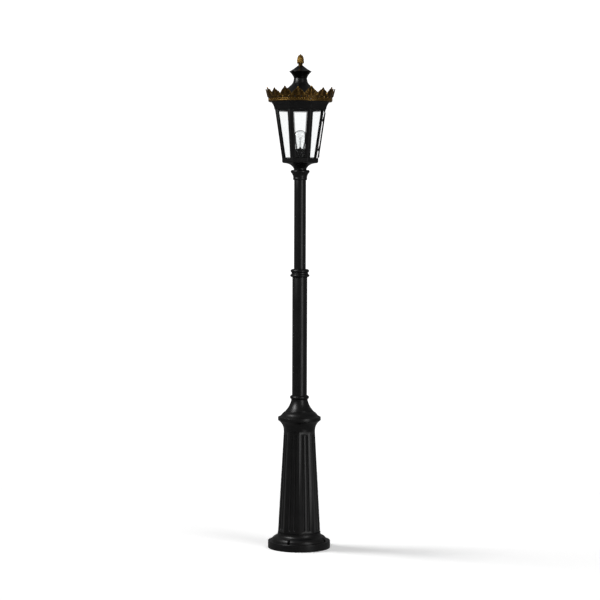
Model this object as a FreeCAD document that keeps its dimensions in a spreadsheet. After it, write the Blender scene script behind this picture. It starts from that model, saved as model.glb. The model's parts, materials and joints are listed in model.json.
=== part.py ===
"""Crowned octagonal street lantern on a two-stage post, as a parametric document.

The post stands on the origin, +Z is up and the lantern's front face looks along -Y. A hinged, glazed
relamping door closes the +X face of the lantern. Every size below can be changed by itself.
"""
import FreeCAD
import Part
import Sketcher
import math
import os
import re

SIZES = [
    # foot and fluted octagonal shell
    ("foot_radius", 131.5), ("foot_edge", 30), ("foot_edge_round", 3), ("foot_moulding", 35),
    ("ledge_radius", 117), ("seat_radius", 90.5), ("foot_cavity_radius", 92), ("foot_web", 20),
    ("anchor_ring_radius", 112), ("anchor_hole_radius", 7),
    ("shaft_corner_low", 89.2), ("shaft_corner_high", 65.7), ("shaft_length", 430), ("shaft_wall", 6),
    ("flute_radius", 5), ("flute_spread", 0.165), ("flute_depth", 3.5), ("flute_end_gap", 14),
    # shoulder and flared neck
    ("cove_height", 44), ("rim_radius", 90.3), ("rim_height", 15), ("slope_height", 25),
    ("shoulder_bore_radius", 44), ("neck_low_radius", 57.3), ("neck_high_wall", 3.3),
    ("neck_height", 50), ("neck_bead_height", 15),
    # tubes and their collar
    ("lower_tube_radius", 31.4), ("upper_tube_radius", 25), ("tube_wall", 3), ("lower_tube_show", 499),
    ("upper_tube_show", 373), ("tube_overlap", 80), ("collar_height", 34), ("collar_low_bead", 13.5),
    ("collar_groove", 5), ("collar_wall", 3.6), ("capital_height", 42), ("capital_radius", 37),
    # lantern
    ("spigot_radius", 18), ("dish_height", 30), ("dish_neck_radius", 26.8), ("dish_radius", 70),
    ("low_ring_height", 19), ("window_height", 200), ("high_ring_height", 5), ("ring_wall", 11),
    ("low_apothem", 76), ("high_apothem", 105.2), ("bar_width", 14.5), ("bar_thickness", 5),
    ("glass_thickness", 3), ("door_thickness", 4), ("door_rail", 12), ("door_gap", 1.4),
    ("door_post_width", 19), ("hinge_radius", 3), ("hinge_pin_radius", 1.4), ("hinge_length", 10),
    ("thumb_radius", 5), ("thumb_height", 3.2), ("shank_radius", 2), ("shank_length", 2.8),
    ("cornice_height", 30), ("cornice_overhang", 13.5),
    # roof, crown and finial
    ("eave_radius", 128), ("roof_height", 82), ("roof_wall", 3), ("crown_height", 58),
    ("crown_flare", 17.5), ("crown_valley", 27), ("crown_short_drop", 5), ("crown_wall", 3),
    ("chimney_low_radius", 31.2), ("chimney_high_radius", 27.2), ("chimney_height", 16),
    ("cap_radius", 46.5), ("cap_flare_height", 28), ("cap_top_height", 24),
    ("finial_radius", 14.2), ("finial_stem_radius", 9.4), ("finial_stem_height", 12),
    ("cone_height", 39), ("stud_radius", 3),
    # lamp
    ("gear_radius", 31), ("gear_height", 53), ("gear_wall", 2), ("lid_thickness", 4),
    ("holder_radius", 19), ("lamp_radius", 30), ("lamp_glass_height", 79), ("lamp_neck_radius", 16),
    ("lamp_cap_radius", 13.2), ("lamp_cap_length", 26),
    ("block_length", 26), ("block_width", 14), ("block_height", 8),
    # fits
    ("slip_gap", 0.2), ("running_gap", 0.05), ("screw_radius", 2.5),
]

# Heights of the joints between the stacked pieces, each written once.
Z_SHAFT = "foot_edge + foot_moulding"
Z_COVE = Z_SHAFT + " + shaft_length"
Z_RIM = Z_COVE + " + cove_height"
Z_SLOPE = Z_RIM + " + rim_height"
Z_NECK = Z_SLOPE + " + slope_height"
Z_BEAD = Z_NECK + " + neck_height"
Z_TUBE = Z_BEAD + " + neck_bead_height"
Z_COLLAR = Z_TUBE + " + lower_tube_show"
Z_JOINT = Z_COLLAR + " + collar_low_bead + collar_groove / 2"
Z_UPPER = Z_COLLAR + " + collar_height"
Z_CAPITAL = Z_UPPER + " + upper_tube_show"
Z_DISH = Z_CAPITAL + " + capital_height"
Z_RING = Z_DISH + " + dish_height"
Z_WINDOW = Z_RING + " + low_ring_height"
Z_HEAD = Z_WINDOW + " + window_height"
Z_CORNICE = Z_HEAD + " + high_ring_height"
Z_EAVE = Z_CORNICE + " + cornice_height"
Z_CHIMNEY = Z_EAVE + " + roof_height"
Z_CAP = Z_CHIMNEY + " + chimney_height"
Z_CAP_RIM = Z_CAP + " + cap_flare_height"
Z_FINIAL = Z_CAP_RIM + " + cap_top_height"
Z_CONE = Z_FINIAL + " + finial_stem_height"
Z_LID = Z_RING + " + gear_height"
Z_LAMP = Z_LID + " + lid_thickness"

SIDES = 8
DOOR_FACE = 2                      # the face whose outward normal is +X, counted from the front
FACE_STEP = 360 / SIDES
C8, S8, T8 = "cos(22.5)", "sin(22.5)", "tan(22.5)"
LEAN = "((high_apothem - low_apothem) / window_height)"

# How far an arc stands off its chord, as sagitta over half chord. Positive bulges away from the solid.
QUARTER = math.tan(math.radians(22.5))
ROUND_END, BEAD, SOFT, COVE, HOLLOW = 0.9, 0.72, 0.25, -0.2, -0.12
POLE = "0.4"                       # radius of the small flat where a dome meets the axis

doc = FreeCAD.newDocument("StreetLantern")
sizes = doc.addObject("Spreadsheet::Sheet", "Sizes")
for row, (alias, value) in enumerate(SIZES, start=1):
    sizes.set("A%d" % row, alias)
    sizes.set("B%d" % row, str(value))
    sizes.setAlias("B%d" % row, alias)
doc.recompute()
ALIASES = {alias for alias, _ in SIZES}
nodes = []


def bound(text):
    """The expression as other objects write it, with the sheet's name before each alias."""
    return re.sub(r"[a-z_]+", lambda m: "Sizes." + m.group(0) if m.group(0) in ALIASES else m.group(0), text)


def number(text):
    """The present value of an expression over the sheet's names."""
    value = sizes.evalExpression(text)
    return float(getattr(value, "Value", value))


def keep(shape_object, label, turn=0.0):
    """Registers a finished sub-part, turned about the vertical axis by turn degrees."""
    shape_object.Label = label
    shape_object.Placement = FreeCAD.Placement(
        FreeCAD.Vector(0, 0, 0), FreeCAD.Rotation(FreeCAD.Vector(0, 0, 1), turn))
    nodes.append(shape_object)
    return shape_object


def new_body(label, turn=0.0):
    """An empty body that will be written out as one sub-part."""
    return keep(doc.addObject("PartDesign::Body", label), label, turn)


def origin_feature(body, role):
    """One of the body's own origin planes or axes."""
    return next(item for item in body.Origin.OriginFeatures if item.Role == role)


def new_sketch(body, name, role, height="0"):
    """An empty sketch on an origin plane of its body, lifted along the plane's normal."""
    sketch = body.newObject("Sketcher::SketchObject", name)
    sketch.AttachmentSupport = (origin_feature(body, role), [""])
    sketch.MapMode = "FlatFace"
    if height != "0":
        sketch.AttachmentOffset = FreeCAD.Placement(FreeCAD.Vector(0, 0, number(height)), FreeCAD.Rotation())
        sketch.setExpression("AttachmentOffset.Base.z", bound(height))
    return sketch


def draw_outline(sketch, corners):
    """A closed outline. Each corner is (x, y) or (x, y, bulge of the edge that leaves it)."""
    points = [FreeCAD.Vector(number(c[0]), number(c[1]), 0) for c in corners]
    edges, arcs = [], []
    for index, corner in enumerate(corners):
        start, end = points[index], points[(index + 1) % len(points)]
        bulge = corner[2] if len(corner) > 2 else 0
        if bulge:
            across = (end - start) * 0.5
            middle = start + across + FreeCAD.Vector(across.y, -across.x, 0) * bulge
            edges.append(Part.Arc(start, middle, end))
            arcs.append((index, abs(bulge)))
        else:
            edges.append(Part.LineSegment(start, end))
    first = sketch.addGeometry(edges, False)
    first = first[0] if isinstance(first, (tuple, list)) else first
    names = []
    for index, start in enumerate(points):
        near = (sketch.getPoint(first + index, 1) - start).Length
        far = (sketch.getPoint(first + index, 2) - start).Length
        names.append((1, 2) if near <= far else (2, 1))
    rules, formulas = [], []
    for index, corner in enumerate(corners):
        before = (index - 1) % len(corners)
        rules.append(Sketcher.Constraint(
            "Coincident", first + before, names[before][1], first + index, names[index][0]))
        for axis, kind, text in ((-2, "DistanceX", corner[0]), (-1, "DistanceY", corner[1])):
            if text == "0":
                rules.append(Sketcher.Constraint("PointOnObject", first + index, names[index][0], axis))
            else:
                formulas.append((len(rules), text))
                rules.append(Sketcher.Constraint(
                    kind, -1, 1, first + index, names[index][0], number(text)))
    for index, bulge in arcs:
        (x1, y1), (x2, y2) = corners[index][:2], corners[(index + 1) % len(corners)][:2]
        text = "sqrt((%s - (%s))^2 + (%s - (%s))^2) * %.6f" % (
            x1, x2, y1, y2, (1 + bulge * bulge) / (4 * bulge))
        formulas.append((len(rules), text))
        rules.append(Sketcher.Constraint("Radius", first + index, number(text)))
    offset = sketch.ConstraintCount
    sketch.addConstraint(rules)
    for index, text in formulas:
        sketch.setExpression("Constraints[%d]" % (offset + index), bound(text))


def turned(label, corners, turn=0.0):
    """A piece turned about the vertical axis; corners are (radius, height, bulge)."""
    body = new_body(label, turn)
    sketch = new_sketch(body, "Outline", "XZ_Plane")
    draw_outline(sketch, corners)
    turning = body.newObject("PartDesign::Revolution", "Turning")
    turning.Profile = sketch
    turning.ReferenceAxis = (sketch, ["V_Axis"])
    turning.Angle = 360
    return body


def loft(body, kind, sections):
    """A ruled loft through horizontal outlines, each (height, corners)."""
    sketches = []
    for height, corners in sections:
        sketch = new_sketch(body, "Section", "XY_Plane", height)
        draw_outline(sketch, corners)
        sketches.append(sketch)
    feature = body.newObject("PartDesign::" + kind, kind)
    feature.Profile = sketches[0]
    feature.Sections = sketches[1:]
    feature.Ruled = True
    body.Tip = feature
    return feature


def octagon(apothem):
    """Corners of an octagon that has a flat side at its front."""
    corners = []
    for index in range(SIDES):
        angle = 22.5 + FACE_STEP * index
        reach = "(%s) / %s" % (apothem, C8)
        corners.append(("%s * cos(%g)" % (reach, angle), "%s * sin(%g)" % (reach, angle)))
    return corners


def octagonal_ring(label, outer, inner, turn=0.0):
    """A hollow octagonal casting; outer and inner are lists of (height, apothem)."""
    body = new_body(label, turn)
    loft(body, "AdditiveLoft", [(height, octagon(apothem)) for height, apothem in outer])
    loft(body, "SubtractiveLoft", [(height, octagon(apothem)) for height, apothem in inner])
    return body


def pocket_round(body, sketch, count, length=None):
    """Cuts a sketch out of a body, away from the sketch's front, count times round the axis."""
    pocket = body.newObject("PartDesign::Pocket", "Cut")
    pocket.Profile = sketch
    pocket.Reversed = True
    if length is None:
        pocket.Type = "ThroughAll"
    else:
        pocket.Reversed = False
        pocket.Length = number(length)
        pocket.setExpression("Length", bound(length))
    body.Tip = pocket
    if count > 1:
        pattern = body.newObject("PartDesign::PolarPattern", "Round")
        pattern.Originals = [pocket]
        pattern.Axis = (origin_feature(body, "Z_Axis"), [""])
        pattern.Angle = 360
        pattern.Occurrences = count
        body.Tip = pattern


def add_circle(sketch, x, y, radius):
    """A circle whose place and radius follow the sheet."""
    centre = FreeCAD.Vector(number(x), number(y), 0)
    index = sketch.addGeometry(Part.Circle(centre, FreeCAD.Vector(0, 0, 1), number(radius)), False)
    offset = sketch.ConstraintCount
    rules = []
    for axis, kind, text in ((-2, "DistanceX", x), (-1, "DistanceY", y)):
        if text == "0":
            rules.append(Sketcher.Constraint("PointOnObject", index, 3, axis))
        else:
            rules.append(Sketcher.Constraint(kind, -1, 1, index, 3, number(text)))
    rules.append(Sketcher.Constraint("Radius", index, number(radius)))
    sketch.addConstraint(rules)
    for place, text in enumerate((x, y, radius)):
        if text != "0":
            sketch.setExpression("Constraints[%d]" % (offset + place), bound(text))


def round_holes(body, radius, height, count):
    """Radial holes through a ring's wall, the first one at the front."""
    sketch = new_sketch(body, "Holes", "XZ_Plane")
    add_circle(sketch, "0", height, radius)
    pocket = body.newObject("PartDesign::Pocket", "Drill")
    pocket.Profile = sketch
    pocket.Type = "ThroughAll"
    pocket.Reversed = True
    body.Tip = pocket
    pattern = body.newObject("PartDesign::PolarPattern", "Round")
    pattern.Originals = [pocket]
    pattern.Axis = (origin_feature(body, "Z_Axis"), [""])
    pattern.Angle = 360
    pattern.Occurrences = count
    body.Tip = pattern


def rod(name, radius, length, place, tilt=(0.0, 0.0, 0.0)):
    """A round bar; place holds its start as expressions and tilt its yaw, pitch and roll."""
    bar = doc.addObject("Part::Cylinder", name)
    bar.Radius = number(radius)
    bar.Height = number(length)
    bar.setExpression("Radius", bound(radius))
    bar.setExpression("Height", bound(length))
    bar.Placement = FreeCAD.Placement(FreeCAD.Vector(*[number(p) for p in place]), FreeCAD.Rotation(*tilt))
    for letter, text in zip("xyz", place):
        bar.setExpression("Placement.Base." + letter, bound(text))
    return bar


def rod_group(label, radius, length, ring, height, count, first=0.0, radial=False):
    """Identical rods round the axis as one sub-part, upright or pointing outwards from the ring."""
    bars = []
    for index in range(count):
        angle = first + 360 * index / count
        place = ("(%s) * cos(%g)" % (ring, angle), "(%s) * sin(%g)" % (ring, angle), height)
        bars.append(rod(label + "_bar", radius, length, place, (angle, 90, 0) if radial else (0, 0, 0)))
    group = doc.addObject("Part::Compound", label)
    group.Links = bars
    return keep(group, label)


def tube(label, outer, inner, low, high):
    """A plain round tube."""
    return turned(label, [(inner, low), (outer, low), (outer, high), (inner, high)])


# ---------------------------------------------------------------- post


def build_foot():
    """Round cast foot with a flat rim, anchor holes, a moulding and a web that locates the tube."""
    bore = "lower_tube_radius + slip_gap"
    web = Z_SHAFT + " - foot_web"
    body = turned("foot_casting", [
        ("foot_cavity_radius", "0"), ("foot_radius", "0"),
        ("foot_radius", "foot_edge - foot_edge_round", QUARTER), ("foot_radius - foot_edge_round", "foot_edge"),
        ("ledge_radius", "foot_edge"), ("ledge_radius", "foot_edge + 3", SOFT),
        ("seat_radius + (ledge_radius - seat_radius) * 0.32", "foot_edge + foot_moulding * 0.52", COVE),
        ("seat_radius", Z_SHAFT + " - 3"), ("seat_radius", Z_SHAFT), (bore, Z_SHAFT), (bore, web),
        ("foot_cavity_radius", web)], turn=-22.5)
    sketch = new_sketch(body, "AnchorHoles", "XY_Plane")
    add_circle(sketch, "0", "-anchor_ring_radius", "anchor_hole_radius")
    pocket_round(body, sketch, 4)


def build_fluted_shell():
    """Tapered octagonal cast shell with two round-ended flutes in each face, a corner at the front."""
    low, high = "shaft_corner_low * " + C8, "shaft_corner_high * " + C8
    body = octagonal_ring(
        "fluted_shell", [(Z_SHAFT, low), (Z_COVE, high)],
        [(Z_SHAFT, low + " - shaft_wall"), (Z_COVE, high + " - shaft_wall")], turn=22.5)
    tilt = "atan((%s - %s) / shaft_length)" % (low, high)
    sketch = new_sketch(body, "Flutes", "XZ_Plane")
    sketch.AttachmentOffset = FreeCAD.Placement(
        FreeCAD.Vector(0, number(Z_SHAFT), number(low)),
        FreeCAD.Rotation(FreeCAD.Vector(1, 0, 0), -number(tilt)))
    sketch.setExpression("AttachmentOffset.Base.y", bound(Z_SHAFT))
    sketch.setExpression("AttachmentOffset.Base.z", bound(low))
    sketch.setExpression("AttachmentOffset.Rotation.Angle", bound("-" + tilt))
    start, end = "flute_end_gap", "shaft_length - flute_end_gap"
    for side in ("-", ""):
        foot = "%sshaft_corner_low * %s * 2 * flute_spread" % (side, S8)
        head = "%sshaft_corner_high * %s * 2 * flute_spread" % (side, S8)
        draw_outline(sketch, [
            (foot + " + flute_radius", start), (head + " + flute_radius", end, ROUND_END),
            (head + " - flute_radius", end), (foot + " - flute_radius", start, ROUND_END)])
    pocket_round(body, sketch, SIDES, "flute_depth")


def build_shoulder_and_neck():
    """Round shoulder casting over the shell, and the flared neck that grips the tube."""
    bore = "lower_tube_radius + slip_gap"
    turned("base_shoulder", [
        ("shoulder_bore_radius", Z_COVE), ("shaft_corner_high + 0.4", Z_COVE),
        ("shaft_corner_high + 0.4", Z_COVE + " + 4", COVE), ("rim_radius - 2", Z_RIM + " - 1"),
        ("rim_radius", Z_RIM), ("rim_radius", Z_SLOPE), ("rim_radius - 1", Z_SLOPE + " + 0.8", HOLLOW),
        ("neck_low_radius + 2", Z_NECK), (bore, Z_NECK), (bore, Z_SLOPE + " + 4"),
        ("shoulder_bore_radius", Z_SLOPE + " - 4")])
    top = "lower_tube_radius + neck_high_wall"
    turned("base_neck", [
        (bore, Z_NECK), ("neck_low_radius", Z_NECK), ("neck_low_radius", Z_NECK + " + 2", HOLLOW),
        (top, Z_BEAD + " - 6"), (top, Z_BEAD, BEAD), (top, Z_TUBE), (bore, Z_TUBE)])
    rod_group("base_tie_rods", "4", "shaft_length", "shoulder_bore_radius + 6", Z_SHAFT, 4, first=45)


def build_tubes():
    """Lower and upper tubes, the sleeve that joins them, the collar outside and the cable bush."""
    web = Z_SHAFT + " - foot_web"
    inner = "lower_tube_radius - tube_wall"
    tube("lower_tube", "lower_tube_radius", inner, web, Z_JOINT)
    tube("cable_gland", inner + " - slip_gap", "6", web, web + " + 16")
    tube("tube_joint_sleeve", inner + " - slip_gap", "upper_tube_radius + slip_gap",
         Z_JOINT + " - tube_overlap", Z_JOINT)
    tube("upper_tube", "upper_tube_radius", "upper_tube_radius - tube_wall",
         Z_JOINT + " - tube_overlap", Z_DISH + " - 4")
    wide, narrow = "lower_tube_radius + slip_gap", "upper_tube_radius + slip_gap"
    groove, ring = Z_COLLAR + " + collar_low_bead", "lower_tube_radius + collar_wall"
    collar = turned("mid_collar", [
        (wide, Z_COLLAR), (ring + " + 1", Z_COLLAR, BEAD), (ring + " + 1", groove),
        (ring, groove), (ring, groove + " + collar_groove"),
        (ring + " - 1", groove + " + collar_groove", BEAD), (ring + " - 1", Z_UPPER),
        (narrow, Z_UPPER), (narrow, Z_JOINT + " + slip_gap"), (wide, Z_JOINT + " + slip_gap")])
    middle = Z_COLLAR + " + collar_low_bead / 2"
    round_holes(collar, "screw_radius + slip_gap / 2", middle, 3)
    rod_group("collar_screws", "screw_radius", "collar_wall + 4.5", wide, middle, 3,
              first=-90, radial=True)


def build_capital():
    """Turned capital on the upper tube, with its grub screws, and the spigot that holds the lantern."""
    bore = "upper_tube_radius + slip_gap"
    cove = Z_CAPITAL + " + 10"
    capital = turned("post_capital", [
        (bore, Z_CAPITAL), (bore + " + 3", Z_CAPITAL, SOFT), (bore + " + 4", cove, COVE),
        ("capital_radius", Z_DISH + " - 12", 0.5), ("capital_radius", Z_DISH), (bore, Z_DISH)])
    middle = Z_CAPITAL + " + 5"
    round_holes(capital, "screw_radius + slip_gap / 2", middle, 3)
    rod_group("capital_screws", "screw_radius", "4", bore, middle, 3, first=-90, radial=True)
    tube("lantern_spigot", "spigot_radius", "spigot_radius - tube_wall", Z_DISH + " - 50", Z_RING + " + 9")


# ---------------------------------------------------------------- lantern


def build_dish():
    """Round cast dish under the lantern, with its neck, and the nut that clamps it to the spigot."""
    bore = "spigot_radius + slip_gap"
    turned("lantern_dish", [
        (bore, Z_DISH), ("dish_neck_radius", Z_DISH), ("dish_neck_radius", Z_DISH + " + 6", -0.3),
        ("dish_radius * 0.76", Z_RING + " - 5"), ("dish_radius", Z_RING + " - 2.5"),
        ("dish_radius", Z_RING), (bore, Z_RING)])
    body = new_body("spigot_nut")
    corners = [("(%s + 5) * cos(%d)" % ("spigot_radius", angle), "(%s + 5) * sin(%d)" % ("spigot_radius", angle))
               for angle in range(0, 360, 60)]
    sketch = new_sketch(body, "Hexagon", "XY_Plane", Z_RING)
    draw_outline(sketch, corners)
    add_circle(sketch, "0", "0", bore)
    pad = body.newObject("PartDesign::Pad", "Nut")
    pad.Profile = sketch
    pad.Length = 7
    body.Tip = pad


def build_frame_rings():
    """Octagonal rings under and over the windows, and the cornice on top."""
    octagonal_ring("lower_frame_ring", [
        (Z_RING, "low_apothem - 3.2"), (Z_RING + " + 4", "low_apothem - 0.5"),
        (Z_WINDOW + " - 4", "low_apothem - 0.5"), (Z_WINDOW, "low_apothem")],
        [(Z_RING, "low_apothem - ring_wall"), (Z_WINDOW, "low_apothem - ring_wall")])
    octagonal_ring("upper_frame_ring", [
        (Z_HEAD, "high_apothem"), (Z_CORNICE, "high_apothem + 1.6")],
        [(Z_HEAD, "high_apothem - ring_wall"), (Z_CORNICE, "high_apothem - ring_wall")])
    steps = ((0, 0.22), (0.22, 0.37), (0.5, 0.55), (0.75, 0.84), (0.9, 1), (1, 1.04))
    octagonal_ring("canopy_cornice", [
        (Z_CORNICE + " + cornice_height * %g" % up, "high_apothem + cornice_overhang * %g" % out)
        for up, out in steps],
        [(Z_CORNICE, "high_apothem - ring_wall"), (Z_EAVE, "high_apothem - 2")])


def post_section(apothem, recess):
    """Section of a corner bar, its corner on local +X; recess sets back its left-hand leg for the door."""
    corner = "(%s) / %s" % (apothem, C8)
    wide = "bar_width" if recess == "0" else "door_post_width"
    left = "(%s)" % recess
    root_half = "1.41421 * " + left
    return [
        ("%s - %s * %s" % (corner, S8, root_half), "-%s * %s" % (C8, root_half)),
        ("%s - bar_width * %s - %s * %s" % (corner, S8, left, C8), "bar_width * %s - %s * %s" % (C8, left, S8)),
        ("%s - bar_width * %s - (%s + bar_thickness) * %s" % (corner, S8, left, C8),
         "bar_width * %s - (%s + bar_thickness) * %s" % (C8, left, S8)),
        ("%s - (bar_thickness + %s / 2) / %s" % (corner, left, C8), "-%s / (2 * %s)" % (left, S8)),
        ("%s - %s * %s - bar_thickness * %s" % (corner, wide, S8, C8),
         "-%s * %s + bar_thickness * %s" % (wide, C8, S8)),
        ("%s - %s * %s" % (corner, wide, S8), "-%s * %s" % (wide, C8))]


def build_posts():
    """Eight leaning corner bars. The two beside the door are set back to take the closed leaf."""
    recess = "(door_thickness + glass_thickness + door_gap)"
    for index in range(SIDES):
        body = new_body("lantern_post_%d" % (index + 1), turn=22.5 + FACE_STEP * index - 90)
        ends = []
        for height, apothem in ((Z_WINDOW, "low_apothem"), (Z_HEAD, "high_apothem")):
            beside_door = index in (DOOR_FACE - 1, DOOR_FACE)
            section = post_section(apothem, recess if beside_door else "0")
            if index == DOOR_FACE:
                section = [(x, "-(%s)" % y) for x, y in reversed(section)]
            ends.append((height, section))
        loft(body, "AdditiveLoft", ends)


def plate_section(apothem, outer, thickness, trim_low, trim_high):
    """Section of a flat plate behind a face: outer is its set-back, the trims shorten its two ends."""
    face = "(%s) - (%s)" % (apothem, outer)
    back = "%s - (%s)" % (face, thickness)
    half = "(%s) * %s" % (apothem, T8)
    return [(back, "-%s + %s" % (half, trim_low)), (face, "-%s + %s" % (half, trim_low)),
            (face, "%s - (%s)" % (half, trim_high)), (back, "%s - (%s)" % (half, trim_high))]


def face_apothem(height):
    """Distance of a lantern face from the axis at a height above the windows' foot."""
    return "low_apothem + (%s) * %s" % (height, LEAN)


def build_panes():
    """Seven fixed glass panes that stand behind the corner bars."""
    outer = "bar_thickness + slip_gap"
    trim = "(bar_thickness + slip_gap + glass_thickness) * %s + 1" % T8
    number_of_pane = 0
    for index in range(SIDES):
        if index == DOOR_FACE:
            continue
        number_of_pane += 1
        near_door = index in (DOOR_FACE - 1, DOOR_FACE + 1)
        wide_trim = "door_post_width - 5" if near_door else trim
        low = wide_trim if index == DOOR_FACE + 1 else trim
        high = wide_trim if index == DOOR_FACE - 1 else trim
        body = new_body("window_pane_%d" % number_of_pane, turn=FACE_STEP * index - 90)
        loft(body, "AdditiveLoft", [
            (Z_WINDOW, plate_section("low_apothem", outer, "glass_thickness", low, high)),
            (Z_HEAD, plate_section("high_apothem", outer, "glass_thickness", low, high))])


def plate(label, low, high, outer, thickness, trim_low, trim_high, window=None):
    """A plate on the door's face, cut by a window whose borders are given by window."""
    body = new_body(label)
    loft(body, "AdditiveLoft", [
        ("%s + %s" % (Z_WINDOW, height), plate_section(
            face_apothem(height), outer, thickness, trim_low, trim_high)) for height in (low, high)])
    if window:
        loft(body, "SubtractiveLoft", [
            ("%s + %s" % (Z_WINDOW, height), plate_section(
                face_apothem(height), "%s - 1" % outer, "%s + 2" % thickness,
                "%s + %s" % (trim_low, window), "%s + %s" % (trim_high, window)))
            for height in ("%s + %s" % (low, window), "%s - %s" % (high, window))])
    return body


def hinge_place(up):
    """Placement on the door's hinge line at a height above the windows' foot, its Z along the line."""
    lean = number(LEAN)
    along = FreeCAD.Vector(lean, lean * number(T8), 1).normalize()
    side = (FreeCAD.Vector(1, 0, 0) - along * along.x).normalize()
    apothem = number(face_apothem("%g" % up))
    foot = FreeCAD.Vector(apothem - number("hinge_radius + slip_gap"),
                          apothem * number(T8) - number("hinge_radius + slip_gap"),
                          number(Z_WINDOW) + up)
    matrix = FreeCAD.Matrix(FreeCAD.Vector(side), along.cross(side), along, foot)
    return FreeCAD.Placement(matrix)


def hinge_half(label, up, arm_to_leaf):
    """Half of a hinge: a bored barrel with an arm, to the leaf's edge or back to the corner bar."""
    length, radius = number("hinge_length"), number("hinge_radius")
    barrel = Part.makeCylinder(radius, length)
    if arm_to_leaf:
        reach = number("hinge_radius + 0.45")
        arm = Part.makeBox(number("door_thickness") - 1.5, reach, length, FreeCAD.Vector(0, -reach, 0))
        bore = number("hinge_pin_radius + running_gap")
    else:
        reach = number("door_thickness + glass_thickness + door_gap - hinge_radius - 2 * slip_gap")
        arm = Part.makeBox(reach, radius, length, FreeCAD.Vector(-reach, 0, 0))
        bore = number("hinge_pin_radius")
    solid = barrel.fuse(arm).cut(Part.makeCylinder(bore, length)).removeSplitter()
    piece = doc.addObject("Part::Feature", label)
    piece.Shape = solid
    piece.Label = label
    piece.Placement = hinge_place(up)
    nodes.append(piece)


def build_door():
    """Glazed leaf on the +X face, hinged along its rear edge, with its gasket and captive screw."""
    hinge_side = "2 * hinge_radius + 3 * slip_gap + 0.3"
    low, high = "2", "window_height - 2"
    plate("door_frame", low, high, "0", "door_thickness", "1.2", hinge_side, window="door_rail")
    plate("door_pane", "5", "window_height - 5", "door_thickness + slip_gap", "glass_thickness - slip_gap",
          "3", hinge_side + " + 2.5")
    seat = "door_thickness + glass_thickness + door_gap - 0.8"
    plate("door_gasket", "1", "window_height - 1", seat, "0.7", "11", "11", window="5")
    barrel = number("hinge_length")
    top = number("window_height")
    for name, up in (("lower", top * 0.16), ("upper", top * 0.78)):
        hinge_half("hinge_lug_" + name, up, False)
        hinge_half("door_knuckle_" + name, up + barrel + 0.3, True)
    pins = []
    for up in (top * 0.16, top * 0.78):
        pin = Part.makeCylinder(number("hinge_pin_radius"), 2 * barrel + 0.3)
        pin.Placement = hinge_place(up)
        pins.append(pin)
    pair = doc.addObject("Part::Feature", "hinge_pins")
    pair.Shape = Part.makeCompound(pins)
    nodes.append(pair)
    build_door_screw()


def build_door_screw():
    """Knurled screw head on the leaf's lower rail, whose short shank stays in the leaf."""
    up = 2 + number("door_rail") / 2
    lean = math.atan(number(LEAN))
    outward = FreeCAD.Vector(math.cos(lean), 0, -math.sin(lean))
    foot = FreeCAD.Vector(number(face_apothem("%g" % up)), 0, number(Z_WINDOW) + up)
    lift, bore = 0.3, "shank_radius + slip_gap / 2"
    head = Part.makeCylinder(number("thumb_radius"), number("thumb_height"), FreeCAD.Vector(0, 0, lift))
    shank = Part.makeCylinder(number("shank_radius"), number("shank_length"),
                              FreeCAD.Vector(0, 0, lift - number("shank_length")))
    screw = doc.addObject("Part::Feature", "door_screw")
    screw.Shape = head.fuse(shank).removeSplitter()
    screw.Placement = FreeCAD.Placement(foot, FreeCAD.Rotation(FreeCAD.Vector(0, 0, 1), outward))
    nodes.append(screw)
    leaf = next(item for item in nodes if item.Label == "door_frame")
    sketch = leaf.newObject("Sketcher::SketchObject", "ScrewHole")
    sketch.AttachmentSupport = (origin_feature(leaf, "YZ_Plane"), [""])
    sketch.MapMode = "FlatFace"
    sketch.AttachmentOffset = FreeCAD.Placement(
        FreeCAD.Vector(0, foot.z, foot.x), FreeCAD.Rotation(FreeCAD.Vector(1, 0, 0), math.degrees(lean)))
    sketch.addGeometry(Part.Circle(FreeCAD.Vector(0, 0, 0), FreeCAD.Vector(0, 0, 1), number(bore)), False)
    sketch.addConstraint([
        Sketcher.Constraint("Coincident", 0, 3, -1, 1), Sketcher.Constraint("Radius", 0, number(bore))])
    sketch.setExpression("Constraints[1]", bound(bore))
    pocket = leaf.newObject("PartDesign::Pocket", "Hole")
    pocket.Profile = sketch
    pocket.Type = "ThroughAll"
    pocket.Midplane = True
    leaf.Tip = pocket


# ---------------------------------------------------------------- roof, crown and finial


def build_roof():
    """Thin conical roof, the short chimney on it and the flared cap."""
    knee, throat = "eave_radius * 0.6", "chimney_low_radius + 9"
    turned("roof_cone", [
        ("eave_radius - 9", Z_EAVE), ("eave_radius", Z_EAVE), ("eave_radius", Z_EAVE + " + 4", -0.04),
        (knee, Z_EAVE + " + roof_height * 0.475"), (throat, Z_CHIMNEY + " - 12", HOLLOW),
        ("chimney_low_radius", Z_CHIMNEY), ("chimney_low_radius - roof_wall", Z_CHIMNEY, -HOLLOW),
        (throat + " - roof_wall", Z_CHIMNEY + " - 13.5"),
        (knee + " - roof_wall", Z_EAVE + " + roof_height * 0.475 - 2")])
    turned("roof_chimney", [
        ("chimney_high_radius - 5", Z_CHIMNEY), ("chimney_low_radius - 0.3", Z_CHIMNEY),
        ("chimney_high_radius", Z_CAP), ("chimney_high_radius - 5", Z_CAP)])
    bore = "stud_radius + slip_gap"
    turned("pagoda_cap", [
        (bore, Z_CAP), ("chimney_high_radius", Z_CAP, HOLLOW), ("cap_radius", Z_CAP_RIM + " - 1"),
        ("cap_radius", Z_CAP_RIM + " + 1", -0.06), ("finial_stem_radius + 3", Z_FINIAL), (bore, Z_FINIAL)])


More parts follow.
